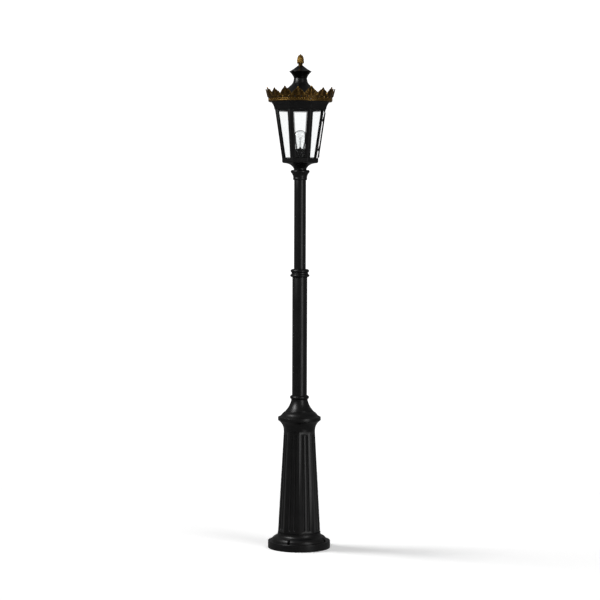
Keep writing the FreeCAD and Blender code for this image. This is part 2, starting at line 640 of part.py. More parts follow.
def build_crown():
    """Flared leaf crown: a thin band cut into eight tall and eight short points, with its screws."""
    inner = "eave_radius + slip_gap"
    outer = inner + " + crown_wall"
    band = Z_EAVE + " + crown_height * 0.25"
    tip = Z_EAVE + " + crown_height"
    crown = turned("leaf_crown", [
        (inner, Z_EAVE), (outer, Z_EAVE), (outer + " + 1", band, HOLLOW), (outer + " + crown_flare", tip),
        (inner + " + crown_flare", tip), (inner + " + 1", band)], turn=18.7)
    sketch = new_sketch(crown, "Notches", "XZ_Plane")
    radius = "(eave_radius + crown_wall + crown_flare)"
    valley = "%s * sin(%g)" % (radius, 11.25)
    short = "%s * sin(%g)" % (radius, 22.5)
    foot = Z_EAVE + " + crown_valley"
    low, above = tip + " - crown_short_drop", tip + " + 5"
    past = "%s * 1.1" % short
    draw_outline(sketch, [(valley, foot), (short, low), (past, low), (past, above), ("1.5", above), ("1.5", tip)])
    draw_outline(sketch, [("-(%s)" % valley, foot), ("-1.5", tip), ("-1.5", above),
                          ("-(%s)" % past, above), ("-(%s)" % past, low), ("-(%s)" % short, low)])
    pocket_round(crown, sketch, SIDES)
    height = Z_EAVE + " + 6"
    round_holes(crown, "2.1", height, 4)
    rod_group("crown_screws", "2", "crown_wall + 2.4", "eave_radius + slip_gap / 2", height, 4,
              first=-90 + 18.7, radial=True)


def build_finial():
    """Pine-cone finial on its stud."""
    bore = "stud_radius + slip_gap"
    top = Z_CONE + " + cone_height"
    middle = Z_CONE + " + cone_height * 0.3"
    turned("pine_cone_finial", [
        (bore, Z_FINIAL), ("finial_stem_radius", Z_FINIAL), ("finial_stem_radius + 0.8", Z_CONE, SOFT),
        ("finial_radius", middle, 0.22), (POLE, top), ("0", top), ("0", Z_CONE + " + 8"),
        (bore, Z_CONE + " + 8")])
    rod_group("finial_stud", "stud_radius", "cap_top_height + finial_stem_height + 10", "0",
              Z_FINIAL + " - cap_top_height - 3", 1)


# ---------------------------------------------------------------- lamp


def build_lamp():
    """Gear box on the dish, the lampholder in its lid, and the clear bulb with its cap and stem."""
    tube("gear_box", "gear_radius", "gear_radius - gear_wall", Z_RING, Z_LID)
    tube("gear_box_lid", "gear_radius", "holder_radius + slip_gap", Z_LID, Z_LAMP)
    base = Z_LAMP + " - lamp_cap_length - 9"
    floor = base + " + 4"
    turned("lampholder", [
        ("4", base), ("holder_radius", base), ("holder_radius", Z_LAMP + " + 2"),
        ("lamp_neck_radius + 1.4", Z_LAMP + " + 2"), ("lamp_neck_radius + 1.4", Z_LAMP + " - 2"),
        ("lamp_cap_radius + 0.5", Z_LAMP + " - 2"), ("lamp_cap_radius + 0.5", floor), ("4", floor)])
    turned("holder_contact", [("0", base), ("3.8", base), ("3.8", Z_LAMP + " - lamp_cap_length"),
                              ("0", Z_LAMP + " - lamp_cap_length")])
    turned("bulb_cap", [("0", Z_LAMP + " - lamp_cap_length"), ("5", Z_LAMP + " - lamp_cap_length"),
                        ("lamp_cap_radius", Z_LAMP + " - lamp_cap_length + 7"), ("lamp_cap_radius", Z_LAMP),
                        ("0", Z_LAMP)])
    centre = Z_LAMP + " + lamp_glass_height - lamp_radius"
    neck = "lamp_radius * 0.4"
    shoulder = "lamp_radius * 0.9165"
    wall = "1"
    inside = "%s + lamp_radius - %s" % (centre, wall)
    sweep = math.tan(math.radians(90 + 23.58) / 4)
    turned("bulb_envelope", [
        ("lamp_neck_radius - " + wall, Z_LAMP), ("lamp_neck_radius", Z_LAMP, -0.1),
        (shoulder, "%s - %s" % (centre, neck), sweep), (POLE, centre + " + lamp_radius"),
        ("0", centre + " + lamp_radius"), ("0", inside), (POLE, inside, -sweep),
        (shoulder + " - " + wall, "%s - %s" % (centre, neck), 0.1)])
    turned("bulb_stem", [("0", Z_LAMP), ("7", Z_LAMP), ("3", Z_LAMP + " + 14"), ("2.5", centre + " - 4"),
                         (POLE, centre), ("0", centre)])
    block = doc.addObject("Part::Box", "terminal_block")
    for name, size in (("Length", "block_length"), ("Width", "block_width"), ("Height", "block_height")):
        block.setExpression(name, bound(size))
    keep(block, "terminal_block")
    block.Placement.Base = FreeCAD.Vector(
        -number("block_length") / 2, -number("block_width") / 2, number(Z_RING + " + 9.5"))
    block.setExpression("Placement.Base.z", bound(Z_RING + " + 9.5"))


def write_parts():
    """Recomputes, tests every object and writes each sub-part to its own file."""
    doc.recompute()
    for item in doc.Objects:
        if "Invalid" in item.State or "Error" in item.State:
            raise SystemExit("%s failed: %s" % (item.Label, item.State))
    os.makedirs("parts", exist_ok=True)
    for node in nodes:
        shape = node.Shape
        if shape.isNull() or not shape.isValid() or shape.Volume <= 0:
            raise SystemExit("%s has no valid shape" % node.Label)
        shape.exportStep("parts/%s.step" % node.Label)
        print("%-22s %2d solid(s) %10.1f mm3" % (node.Label, len(shape.Solids), shape.Volume))
    print("%d sub-parts" % len(nodes))


build_foot()
build_fluted_shell()
build_shoulder_and_neck()
build_tubes()
build_capital()
build_dish()
build_frame_rings()
build_posts()
build_panes()
build_door()
build_roof()
build_crown()
build_finial()
build_lamp()
write_parts()
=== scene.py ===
"""Looks of a crowned octagonal street lantern on its two-stage post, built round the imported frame.

Every length is in metres, +Z is up and the lantern's front face looks along -Y.
"""
import json
import logging
import math
from collections.abc import Callable
from dataclasses import dataclass
from enum import Enum
from functools import cache
from itertools import pairwise

import bpy
from mathutils import Matrix, Vector


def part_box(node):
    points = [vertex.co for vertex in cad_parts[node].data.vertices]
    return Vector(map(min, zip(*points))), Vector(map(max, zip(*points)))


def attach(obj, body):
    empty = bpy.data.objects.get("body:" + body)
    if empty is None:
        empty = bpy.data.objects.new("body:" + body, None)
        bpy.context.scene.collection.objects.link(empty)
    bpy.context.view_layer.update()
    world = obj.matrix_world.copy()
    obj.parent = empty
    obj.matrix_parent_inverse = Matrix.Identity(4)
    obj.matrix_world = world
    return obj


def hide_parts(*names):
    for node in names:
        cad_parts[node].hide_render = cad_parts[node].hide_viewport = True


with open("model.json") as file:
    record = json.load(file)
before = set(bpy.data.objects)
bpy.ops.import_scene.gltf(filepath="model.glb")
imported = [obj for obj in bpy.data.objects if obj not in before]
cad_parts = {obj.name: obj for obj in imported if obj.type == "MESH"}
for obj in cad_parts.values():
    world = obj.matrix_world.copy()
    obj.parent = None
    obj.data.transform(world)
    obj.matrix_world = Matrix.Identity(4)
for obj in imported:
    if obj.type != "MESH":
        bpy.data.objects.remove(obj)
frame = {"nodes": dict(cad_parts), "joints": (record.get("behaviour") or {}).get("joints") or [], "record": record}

MM = 0.001
SIDES = 8
HALF_FACE = math.radians(22.5)
DOOR_FACE = 2
FIT = 0.2 * MM                  # clearance of a bore on the tube or spigot that it takes
ROOT = "root"
Point = tuple[float, float]
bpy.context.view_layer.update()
log = logging.getLogger("lantern")


class Slot(Enum):
    """Material slots of the record."""

    POWDER = "black_powder_coat"
    BRONZE = "aged_bronze"
    WINDOW = "window_glass"
    LAMP = "lamp_glass"
    BRASS = "lamp_brass"
    PLASTIC = "black_plastic"
    RUBBER = "black_rubber"
    ZINC = "zinc_steel"
    SCREW = "black_screw"


# ------------------------------------------------------------------ finishes


def linear(code: str, alpha: float = 1.0) -> tuple[float, float, float, float]:
    """Turns an sRGB hex colour into a linear one.

    Args:
        code: six hex digits.
        alpha: the fourth value.

    Returns:
        Red, green, blue and alpha.
    """
    parts = [int(code[i:i + 2], 16) / 255 for i in (0, 2, 4)]
    return tuple(c / 12.92 if c <= 0.04045 else ((c + 0.055) / 1.055) ** 2.4 for c in parts) + (alpha,)


def add_node(tree: bpy.types.NodeTree, kind: str, links: dict | None = None,
             **settings: object) -> bpy.types.Node:
    """Adds a node with its settings, input values and links.

    Args:
        tree: node tree that takes the node.
        kind: the node's type name.
        links: input name or index to a value, or to the output socket it is joined to.
        settings: plain attributes of the node.

    Returns:
        The new node.
    """
    made = tree.nodes.new(kind)
    for name, value in settings.items():
        setattr(made, name, value)
    for name, value in (links or {}).items():
        if isinstance(value, bpy.types.NodeSocket):
            tree.links.new(value, made.inputs[name])
        else:
            made.inputs[name].default_value = value
    return made


def blank_material(name: str) -> tuple[bpy.types.Material, bpy.types.Node, bpy.types.NodeSocket]:
    """A new material with only its shader and output.

    Args:
        name: the material's name.

    Returns:
        The material, its Principled shader and the Object coordinates.
    """
    material = bpy.data.materials.new(name)
    material.use_nodes = True
    tree = material.node_tree
    tree.nodes.clear()
    shader = add_node(tree, "ShaderNodeBsdfPrincipled")
    add_node(tree, "ShaderNodeOutputMaterial", {"Surface": shader.outputs["BSDF"]})
    place = add_node(tree, "ShaderNodeTexCoord").outputs["Object"]
    return material, shader, place


def noise(tree: bpy.types.NodeTree, place: bpy.types.NodeSocket, grain: float,
          detail: float = 3.0) -> bpy.types.NodeSocket:
    """Noise with blotches of a real size.

    Args:
        tree: node tree.
        place: coordinates.
        grain: size of a blotch.
        detail: octaves.

    Returns:
        The noise value.
    """
    made = add_node(tree, "ShaderNodeTexNoise", {"Vector": place, "Scale": 1 / grain, "Detail": detail})
    return made.outputs["Fac"]


def spread(tree: bpy.types.NodeTree, value: bpy.types.NodeSocket, low: float, high: float,
           start: float = 0.3, end: float = 0.7) -> bpy.types.NodeSocket:
    """Maps a value from one range to another, clamped.

    Args:
        tree: node tree.
        value: what is mapped.
        low: result at start.
        high: result at end.
        start: value that gives low.
        end: value that gives high.

    Returns:
        The mapped value.
    """
    made = add_node(tree, "ShaderNodeMapRange", {
        "Value": value, "From Min": start, "From Max": end, "To Min": low, "To Max": high})
    return made.outputs["Result"]


def mixed(tree: bpy.types.NodeTree, factor: bpy.types.NodeSocket, low: object,
          high: object) -> bpy.types.NodeSocket:
    """A colour between two others.

    Args:
        tree: node tree.
        factor: 0 gives low, 1 gives high.
        low: first colour.
        high: second colour.

    Returns:
        The colour.
    """
    made = add_node(tree, "ShaderNodeMix", {0: factor, 6: low, 7: high}, data_type="RGBA")
    return made.outputs[2]


@dataclass(frozen=True)
class PowderCoat:
    """Satin black polyester powder coat, stoved on cast or drawn metal.

    It gives a deep even black with soft, slightly broken highlights: a fine orange peel, over the
    shallow waviness of a casting where there is one.
    """

    name: str = "satin_black_powder_coat"
    colour: str = "0a0a0b"
    dust: str = "161514"
    roughness: float = 0.34
    peel: float = 1.6 * MM         # a real orange peel is about 0.8 mm: drawn twice as coarse, to show
    waviness: float = 22 * MM
    wave_depth: float = 0.05 * MM

    def material(self) -> bpy.types.Material:
        """Builds the material."""
        material, shader, place = blank_material(self.name)
        tree = material.node_tree
        blotch = noise(tree, place, 60 * MM, 5.0)
        fine = noise(tree, place, self.peel, 2.0)
        wave = noise(tree, place, self.waviness, 2.0)
        dusty = spread(tree, blotch, 0, 0.55, 0.42, 0.72)
        colour = mixed(tree, dusty, linear(self.colour), linear(self.dust))
        tree.links.new(colour, shader.inputs["Base Color"])
        rough = spread(tree, blotch, self.roughness - 0.04, self.roughness + 0.06)
        tree.links.new(rough, shader.inputs["Roughness"])
        low = add_node(tree, "ShaderNodeBump", {"Height": wave, "Distance": self.wave_depth, "Strength": 0.6})
        top = add_node(tree, "ShaderNodeBump", {
            "Height": fine, "Distance": 0.012 * MM, "Strength": 0.5, "Normal": low.outputs["Normal"]})
        tree.links.new(top.outputs["Normal"], shader.inputs["Normal"])
        shader.inputs["Coat Weight"].default_value = 0.1
        shader.inputs["Coat Roughness"].default_value = 0.16
        return material


@dataclass(frozen=True)
class AgedBronze:
    """Cast brass with a dark brown patina, its raised edges rubbed back to dull gold.

    Hollows stay nearly black-brown, so the relief reads as dark shapes drawn in gold.
    """

    name: str = "patinated_cast_brass"
    hollow: str = "0e0a04"
    body: str = "4d3415"
    rubbed: str = "b9914a"
    olive: str = "372b12"
    grain: float = 3 * MM

    def material(self) -> bpy.types.Material:
        """Builds the material."""
        material, shader, place = blank_material(self.name)
        tree = material.node_tree
        blotch = noise(tree, place, 9 * MM, 4.0)
        fine = noise(tree, place, self.grain, 4.0)
        edge = add_node(tree, "ShaderNodeNewGeometry").outputs["Pointiness"]
        wear = spread(tree, fine, -0.035, 0.035)
        broken = add_node(tree, "ShaderNodeMath", {0: edge, 1: wear}, operation="ADD")
        patina = mixed(tree, spread(tree, blotch, 0, 1, 0.4, 0.62), linear(self.body), linear(self.olive))
        worn = mixed(tree, spread(tree, broken.outputs[0], 0, 1, 0.5, 0.6), patina, linear(self.rubbed))
        colour = mixed(tree, spread(tree, broken.outputs[0], 1, 0, 0.40, 0.49), worn, linear(self.hollow))
        tree.links.new(colour, shader.inputs["Base Color"])
        tree.links.new(spread(tree, broken.outputs[0], 0.52, 0.27, 0.46, 0.6), shader.inputs["Roughness"])
        shader.inputs["Metallic"].default_value = 0.9
        bump = add_node(tree, "ShaderNodeBump", {"Height": fine, "Distance": 0.15 * MM, "Strength": 0.5})
        tree.links.new(bump.outputs["Normal"], shader.inputs["Normal"])
        return material


@dataclass(frozen=True)
class ClearGlass:
    """Clear soda-lime glass: nearly invisible head-on, with a bright reflection at its edges."""

    name: str
    tint: str = "fdfefe"
    ior: float = 1.45
    ripple: float = 70 * MM
    ripple_depth: float = 0.01 * MM

    def material(self) -> bpy.types.Material:
        """Builds the material."""
        material, shader, place = blank_material(self.name)
        tree = material.node_tree
        shader.inputs["Base Color"].default_value = linear(self.tint)
        shader.inputs["Transmission Weight"].default_value = 1.0
        shader.inputs["IOR"].default_value = self.ior
        smear = noise(tree, place, self.ripple, 3.0)
        tree.links.new(spread(tree, smear, 0.0, 0.03), shader.inputs["Roughness"])
        bump = add_node(tree, "ShaderNodeBump", {
            "Height": smear, "Distance": self.ripple_depth, "Strength": 0.3})
        tree.links.new(bump.outputs["Normal"], shader.inputs["Normal"])
        return material


@dataclass(frozen=True)
class PlainFinish:
    """A moulded, plated or blackened surface: one colour broken by fine wear.

    Zinc and nickel look pale and streaky; phenolic and rubber look black and even, with a soft sheen.
    """

    name: str
    colour: str
    shade: str
    roughness: float
    metallic: float
    grain: float = 2 * MM
    depth: float = 0.02 * MM

    def material(self) -> bpy.types.Material:
        """Builds the material."""
        material, shader, place = blank_material(self.name)
        tree = material.node_tree
        fine = noise(tree, place, self.grain, 4.0)
        tree.links.new(mixed(tree, spread(tree, fine, 0, 1), linear(self.colour), linear(self.shade)),
                       shader.inputs["Base Color"])
        rough = spread(tree, fine, self.roughness - 0.05, self.roughness + 0.08)
        tree.links.new(rough, shader.inputs["Roughness"])
        shader.inputs["Metallic"].default_value = self.metallic
        bump = add_node(tree, "ShaderNodeBump", {"Height": fine, "Distance": self.depth, "Strength": 0.5})
        tree.links.new(bump.outputs["Normal"], shader.inputs["Normal"])
        return material


def all_finishes() -> dict[Slot, bpy.types.Material]:
    """Builds one material for each slot.

    Returns:
        Slot to material.
    """
    return {
        Slot.POWDER: PowderCoat().material(),
        Slot.BRONZE: AgedBronze().material(),
        Slot.WINDOW: ClearGlass("clear_float_glass").material(),
        Slot.LAMP: ClearGlass("clear_blown_glass", "fdfefe", ripple=25 * MM).material(),
        Slot.BRASS: PlainFinish("nickelled_brass", "b7a98a", "8d7d5c", 0.28, 1.0).material(),
        Slot.PLASTIC: PlainFinish("moulded_black_phenolic", "121213", "1b1b1c", 0.42, 0.0).material(),
        Slot.RUBBER: PlainFinish("black_epdm_rubber", "0d0d0d", "191918", 0.7, 0.0).material(),
        Slot.ZINC: PlainFinish("zinc_plated_steel", "a9adb0", "83878b", 0.36, 1.0).material(),
        Slot.SCREW: PlainFinish("blackened_steel", "1a1a1c", "2b2a2a", 0.36, 0.8).material(),
    }


# ------------------------------------------------------------------ bench tools


def deselect() -> None:
    """Leaves nothing selected, in object mode, and edit mode set to pick points."""
    if bpy.context.mode != "OBJECT":
        bpy.ops.object.mode_set(mode="OBJECT")
    bpy.context.tool_settings.mesh_select_mode = (True, False, False)
    bpy.ops.object.select_all(action="DESELECT")


def choose(*pieces: bpy.types.Object) -> None:
    """Selects only some pieces and makes the first one active.

    Args:
        *pieces: the pieces.
    """
    deselect()
    for piece in pieces:
        piece.select_set(True)
    bpy.context.view_layer.objects.active = pieces[0]


@cache
def levels(node: str) -> tuple[float, float, float]:
    """A node's lowest and highest point and its half width along X.

    Args:
        node: the node's name.

    Returns:
        Low, high and reach.
    """
    low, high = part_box(node)
    return low[2], high[2], (high[0] - low[0]) / 2


def curve(start: Point, end: Point, bulge: float, steps: int = 8) -> list[Point]:
    """Points along an arc, without its start.

    Args:
        start: first point.
        end: last point.
        bulge: height over half chord, positive to the right of the way travelled.
        steps: number of chords.

    Returns:
        The points up to and with the end.
    """
    half = (Vector(end) - Vector(start)) / 2
    middle = Vector(start) + half
    side = Vector((half.y, -half.x))
    sweep = 4 * math.atan(bulge)
    centre = middle + side * (bulge - 1 / bulge) / 2
    arm = Vector(start) - centre
    points = []
    for step in range(1, steps + 1):
        angle = sweep * step / steps
        c, s = math.cos(angle), math.sin(angle)
        points.append((centre.x + arm.x * c - arm.y * s, centre.y + arm.x * s + arm.y * c))
    return points


def outline(*stops: tuple) -> list[Point]:
    """An outline of straight runs and arcs.

    Args:
        *stops: (radius, height), or (radius, height, bulge) where an arc leads to it.

    Returns:
        Its points, arcs divided.
    """
    points: list[Point] = [tuple(stops[0][:2])]
    for stop in stops[1:]:
        if len(stop) > 2:
            points += curve(points[-1], stop[:2], stop[2])
        else:
            points.append(tuple(stop))
    return points


def pick_faces(piece: bpy.types.Object, wanted: Callable[[bpy.types.MeshPolygon], bool]) -> None:
    """Goes into edit mode with only some faces of a piece selected.

    Args:
        piece: the piece.
        wanted: says whether a face is selected.
    """
    choose(piece)
    bpy.ops.object.mode_set(mode="EDIT")
    bpy.ops.mesh.select_mode(type="FACE")
    bpy.ops.mesh.select_all(action="DESELECT")
    bpy.ops.object.mode_set(mode="OBJECT")
    for polygon in piece.data.polygons:
        polygon.select = wanted(polygon)
    bpy.ops.object.mode_set(mode="EDIT")


def apply_modifier(piece: bpy.types.Object, kind: str, **settings: object) -> None:
    """Adds a modifier and applies it.

    Args:
        piece: the piece.
        kind: the modifier's type.
        **settings: its settings.
    """
    choose(piece)
    made = piece.modifiers.new(kind.title(), kind)
    for name, value in settings.items():
        setattr(made, name, value)
    bpy.ops.object.modifier_apply(modifier=made.name)


def rounded(piece: bpy.types.Object, width: float, segments: int = 2, angle: float = 32) -> None:
    """Rounds a piece's sharp edges.

    Args:
        piece: the piece.
        width: the rounding's width.
        segments: facets across it.
        angle: edges that turn less than this many degrees stay.
    """
    apply_modifier(piece, "BEVEL", width=width, segments=segments, limit_method="ANGLE",
                   angle_limit=math.radians(angle), use_clamp_overlap=True)


def finished(piece: bpy.types.Object, name: str, angle: float = 30) -> bpy.types.Object:
    """Puts a piece's place in its mesh, turns its faces outwards and smooths it.

    Args:
        piece: the piece.
        name: its name from now on.
        angle: edges that turn more than this many degrees stay crisp.

    Returns:
        The piece.
    """
    choose(piece)
    bpy.ops.object.transform_apply(location=True, rotation=True, scale=True)
    bpy.ops.object.mode_set(mode="EDIT")
    bpy.ops.mesh.select_all(action="SELECT")
    bpy.ops.mesh.remove_doubles(threshold=0.004 * MM)
    bpy.ops.mesh.normals_make_consistent(inside=False)
    bpy.ops.object.mode_set(mode="OBJECT")
    bpy.ops.object.shade_smooth_by_angle(angle=math.radians(angle))
    piece.name = piece.data.name = name
    return piece


def turned(name: str, points: list[Point], closed: bool = True, segments: int = 96,
           bevel: float = 0.5 * MM) -> bpy.types.Object:
    """A piece turned about the post's axis, raised ring by ring from a circle.

    Args:
        name: the piece's name.
        points: its outline, (radius, height).
        closed: True joins the last ring to the first, False closes both ends.
        segments: facets round the axis.
        bevel: width of its rounded edges.

    Returns:
        The piece.
    """
    deselect()
    points = [(max(radius, 0.05 * MM), height) for radius, height in points]
    bpy.ops.mesh.primitive_circle_add(vertices=segments, radius=points[0][0], location=(0, 0, points[0][1]))
    piece = bpy.context.object
    bpy.ops.object.transform_apply(location=True)
    bpy.ops.object.mode_set(mode="EDIT")
    bpy.ops.mesh.select_all(action="SELECT")
    stops = points + points[:1] if closed else points
    for (radius, height), (next_radius, next_height) in pairwise(stops):
        bpy.ops.mesh.extrude_region_move(TRANSFORM_OT_translate={"value": (0, 0, next_height - height)})
        ratio = next_radius / radius
        bpy.ops.transform.resize(value=(ratio, ratio, 1), center_override=(0, 0, next_height))
    bpy.ops.mesh.select_all(action="SELECT")
    bpy.ops.mesh.remove_doubles(threshold=0.002 * MM)
    if not closed:
        bpy.ops.mesh.fill_holes(sides=0)
    bpy.ops.mesh.select_all(action="SELECT")
    bpy.ops.mesh.normals_make_consistent(inside=False)
    bpy.ops.object.mode_set(mode="OBJECT")
    if bevel:
        rounded(piece, bevel)
    return finished(piece, name)


def joined(pieces: list[bpy.types.Object], name: str) -> bpy.types.Object:
    """Joins pieces into one.

    Args:
        pieces: the pieces.
        name: name of the result.

    Returns:
        The joined piece.
    """
    choose(*pieces)
    bpy.ops.object.join()
    piece = bpy.context.object
    piece.name = piece.data.name = name
    return piece


def copies(piece: bpy.types.Object, places: list[Matrix], name: str) -> bpy.types.Object:
    """Copies of a piece, each with its own mesh, joined into one.

    Args:
        piece: the pattern, which is used up.
        places: where each copy goes, from where the pattern stands.
        name: name of the result.

    Returns:
        The joined copies.
    """
    choose(piece)
    bpy.ops.object.transform_apply(location=True, rotation=True, scale=True)
    made = []
    for place in places:
        twin = piece.copy()
        twin.data = piece.data.copy()
        twin.data.transform(place)
        bpy.context.scene.collection.objects.link(twin)
        made.append(twin)
    bpy.data.objects.remove(piece, do_unlink=True)
    return joined(made, name)


def turns(count: int, start: float = 0) -> list[Matrix]:
    """Even turns about the post's axis, the first one start degrees from +X."""
    first, step = math.radians(start), 2 * math.pi / count
    return [Matrix.Rotation(first + step * index, 4, "Z") for index in range(count)]


def rod(radius: float, length: float, place: tuple[float, float, float], sides: int = 24,
        lying: bool = False) -> bpy.types.Object:
    """A rod, drill or screw blank.

    Args:
        radius: its radius.
        length: its length.
        place: its middle.
        sides: facets round it.
        lying: True lays it along X, False stands it up.

    Returns:
        The rod.
    """
    deselect()
    bpy.ops.mesh.primitive_cylinder_add(vertices=sides, radius=radius, depth=length, location=place,
                                        rotation=(0, math.pi / 2 if lying else 0, 0))
    return bpy.context.object


def cut(piece: bpy.types.Object, tool: bpy.types.Object) -> None:
    """Cuts a tool's shape out of a piece and removes the tool."""
    apply_modifier(piece, "BOOLEAN", operation="DIFFERENCE", solver="EXACT", object=tool, use_self=True)
    bpy.data.objects.remove(tool, do_unlink=True)


def eased_copy(node: str, name: str, width: float, segments: int = 2) -> bpy.types.Object:
    """A clean copy of a straight-sided CAD node with its edges eased.

    Args:
        node: the node's name.
        name: the copy's name.
        width: width of the eased edges.
        segments: facets across them.

    Returns:
        The copy.
    """
    choose(frame["nodes"][node])
    bpy.ops.object.duplicate()
    piece = bpy.context.object
    matrix = piece.matrix_world.copy()
    piece.parent = None
    piece.matrix_world = matrix
    bpy.ops.object.transform_apply(location=True, rotation=True, scale=True)
    bpy.ops.mesh.customdata_custom_splitnormals_clear()
    bpy.ops.object.mode_set(mode="EDIT")
    bpy.ops.mesh.select_all(action="SELECT")
    bpy.ops.mesh.remove_doubles(threshold=0.01 * MM)
    bpy.ops.mesh.dissolve_limited(angle_limit=math.radians(1.5))
    bpy.ops.object.mode_set(mode="OBJECT")
    rounded(piece, width, segments)
    return finished(piece, name)


def bead_frame(spots: list[Vector], radius: float) -> bpy.types.Object:
    """A rounded moulding that frames a window which looks along +X.

    Args:
        spots: the frame's outer corners at its back: low left, low right, high right, high left.
        radius: half the moulding's width and depth.

    Returns:
        The moulding.
    """
    deselect()
    bpy.ops.mesh.primitive_cube_add(size=1)
    bead = bpy.context.object
    corners = {(-1, -1): 0, (1, -1): 1, (1, 1): 2, (-1, 1): 3}
    for vertex in bead.data.vertices:
        spot = spots[corners[(1 if vertex.co.y > 0 else -1, 1 if vertex.co.z > 0 else -1)]]
        vertex.co = spot + Vector((2 * radius if vertex.co.x > 0 else 0, 0, 0))
    bead.data.update()
    pick_faces(bead, lambda polygon: abs(polygon.normal.x) > 0.8)
    bpy.ops.mesh.inset(thickness=2 * radius, depth=0)
    bpy.ops.mesh.bridge_edge_loops()
    bpy.ops.object.mode_set(mode="OBJECT")
    rounded(bead, radius * 0.6, 3)
    return bead


@dataclass
class Assembly:
    """Shared by the sub-assemblies: dresses a piece and fastens it to a body."""

    finishes: dict[Slot, bpy.types.Material]
    body: str = ROOT

    def fit(self, piece: bpy.types.Object, slot: Slot, *nodes: str,
            body: str | None = None) -> bpy.types.Object:
        """Gives a piece its finish, its body and the nodes it stands for.

        Args:
            piece: the new piece.
            slot: its material slot.
            *nodes: CAD nodes that it replaces.
            body: the body it rides on, if not this assembly's.

        Returns:
            The piece.
        """
        piece.data.materials.clear()
        piece.data.materials.append(self.finishes[slot])
        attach(piece, body or self.body)
        if nodes:
            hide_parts(*nodes)
        log.info("%s: %d faces", piece.name, len(piece.data.polygons))
        return piece

    def cast(self, node: str, points: list[Point], slot: Slot = Slot.POWDER, **settings: object) -> None:
        """Turns a round piece and puts it in its node's place.

        Args:
            node: the CAD node that it replaces.
            points: its outline.
            slot: its material slot.
            **settings: what else turned() takes.
        """
        self.fit(turned(node + "_finished", points, **settings), slot, node)


# ------------------------------------------------------------------ post


@dataclass
class Foot(Assembly):
    """Round cast foot with its anchor holes."""

    edge: float = 30 * MM
    edge_round: float = 2.5 * MM
    hollow_radius: float = 92 * MM
    top_wall: float = 20 * MM
    ledge_radius: float = 117 * MM
    seat_radius: float = 90.5 * MM
    anchor_ring: float = 112 * MM
    anchor_radius: float = 7 * MM
    anchor_angle: float = -22.5

    def build(self) -> None:
        """Turns the foot and drills its holes."""
        low, high, reach = levels("foot_casting")
        bore = levels("lower_tube")[2] + FIT
        shoulder = low + self.edge
        rise = high - shoulder
        middle = self.seat_radius + (self.ledge_radius - self.seat_radius) * 0.30
        foot = turned("foot_casting_finished", outline(
            (self.hollow_radius, low), (reach, low), (reach, shoulder - self.edge_round),
            (reach - self.edge_round, shoulder, 0.41),
            (self.ledge_radius + 1 * MM, shoulder), (self.ledge_radius, shoulder + 1 * MM, -0.41),
            (self.ledge_radius - 0.5 * MM, shoulder + 3 * MM), (middle, shoulder + rise * 0.55, 0.30),
            (self.seat_radius, high - 3.5 * MM, -0.22), (self.seat_radius, high),
            (bore, high), (bore, high - self.top_wall), (self.hollow_radius, high - self.top_wall)),
            segments=128, bevel=0)
        drill = rod(self.anchor_radius, 4 * self.edge, (self.anchor_ring, 0, shoulder), 40)
        cut(foot, copies(drill, turns(4, self.anchor_angle - 90), "anchor_drill"))
        rounded(foot, 0.5 * MM)
        self.fit(finished(foot, "foot_casting_finished"), Slot.POWDER, "foot_casting")


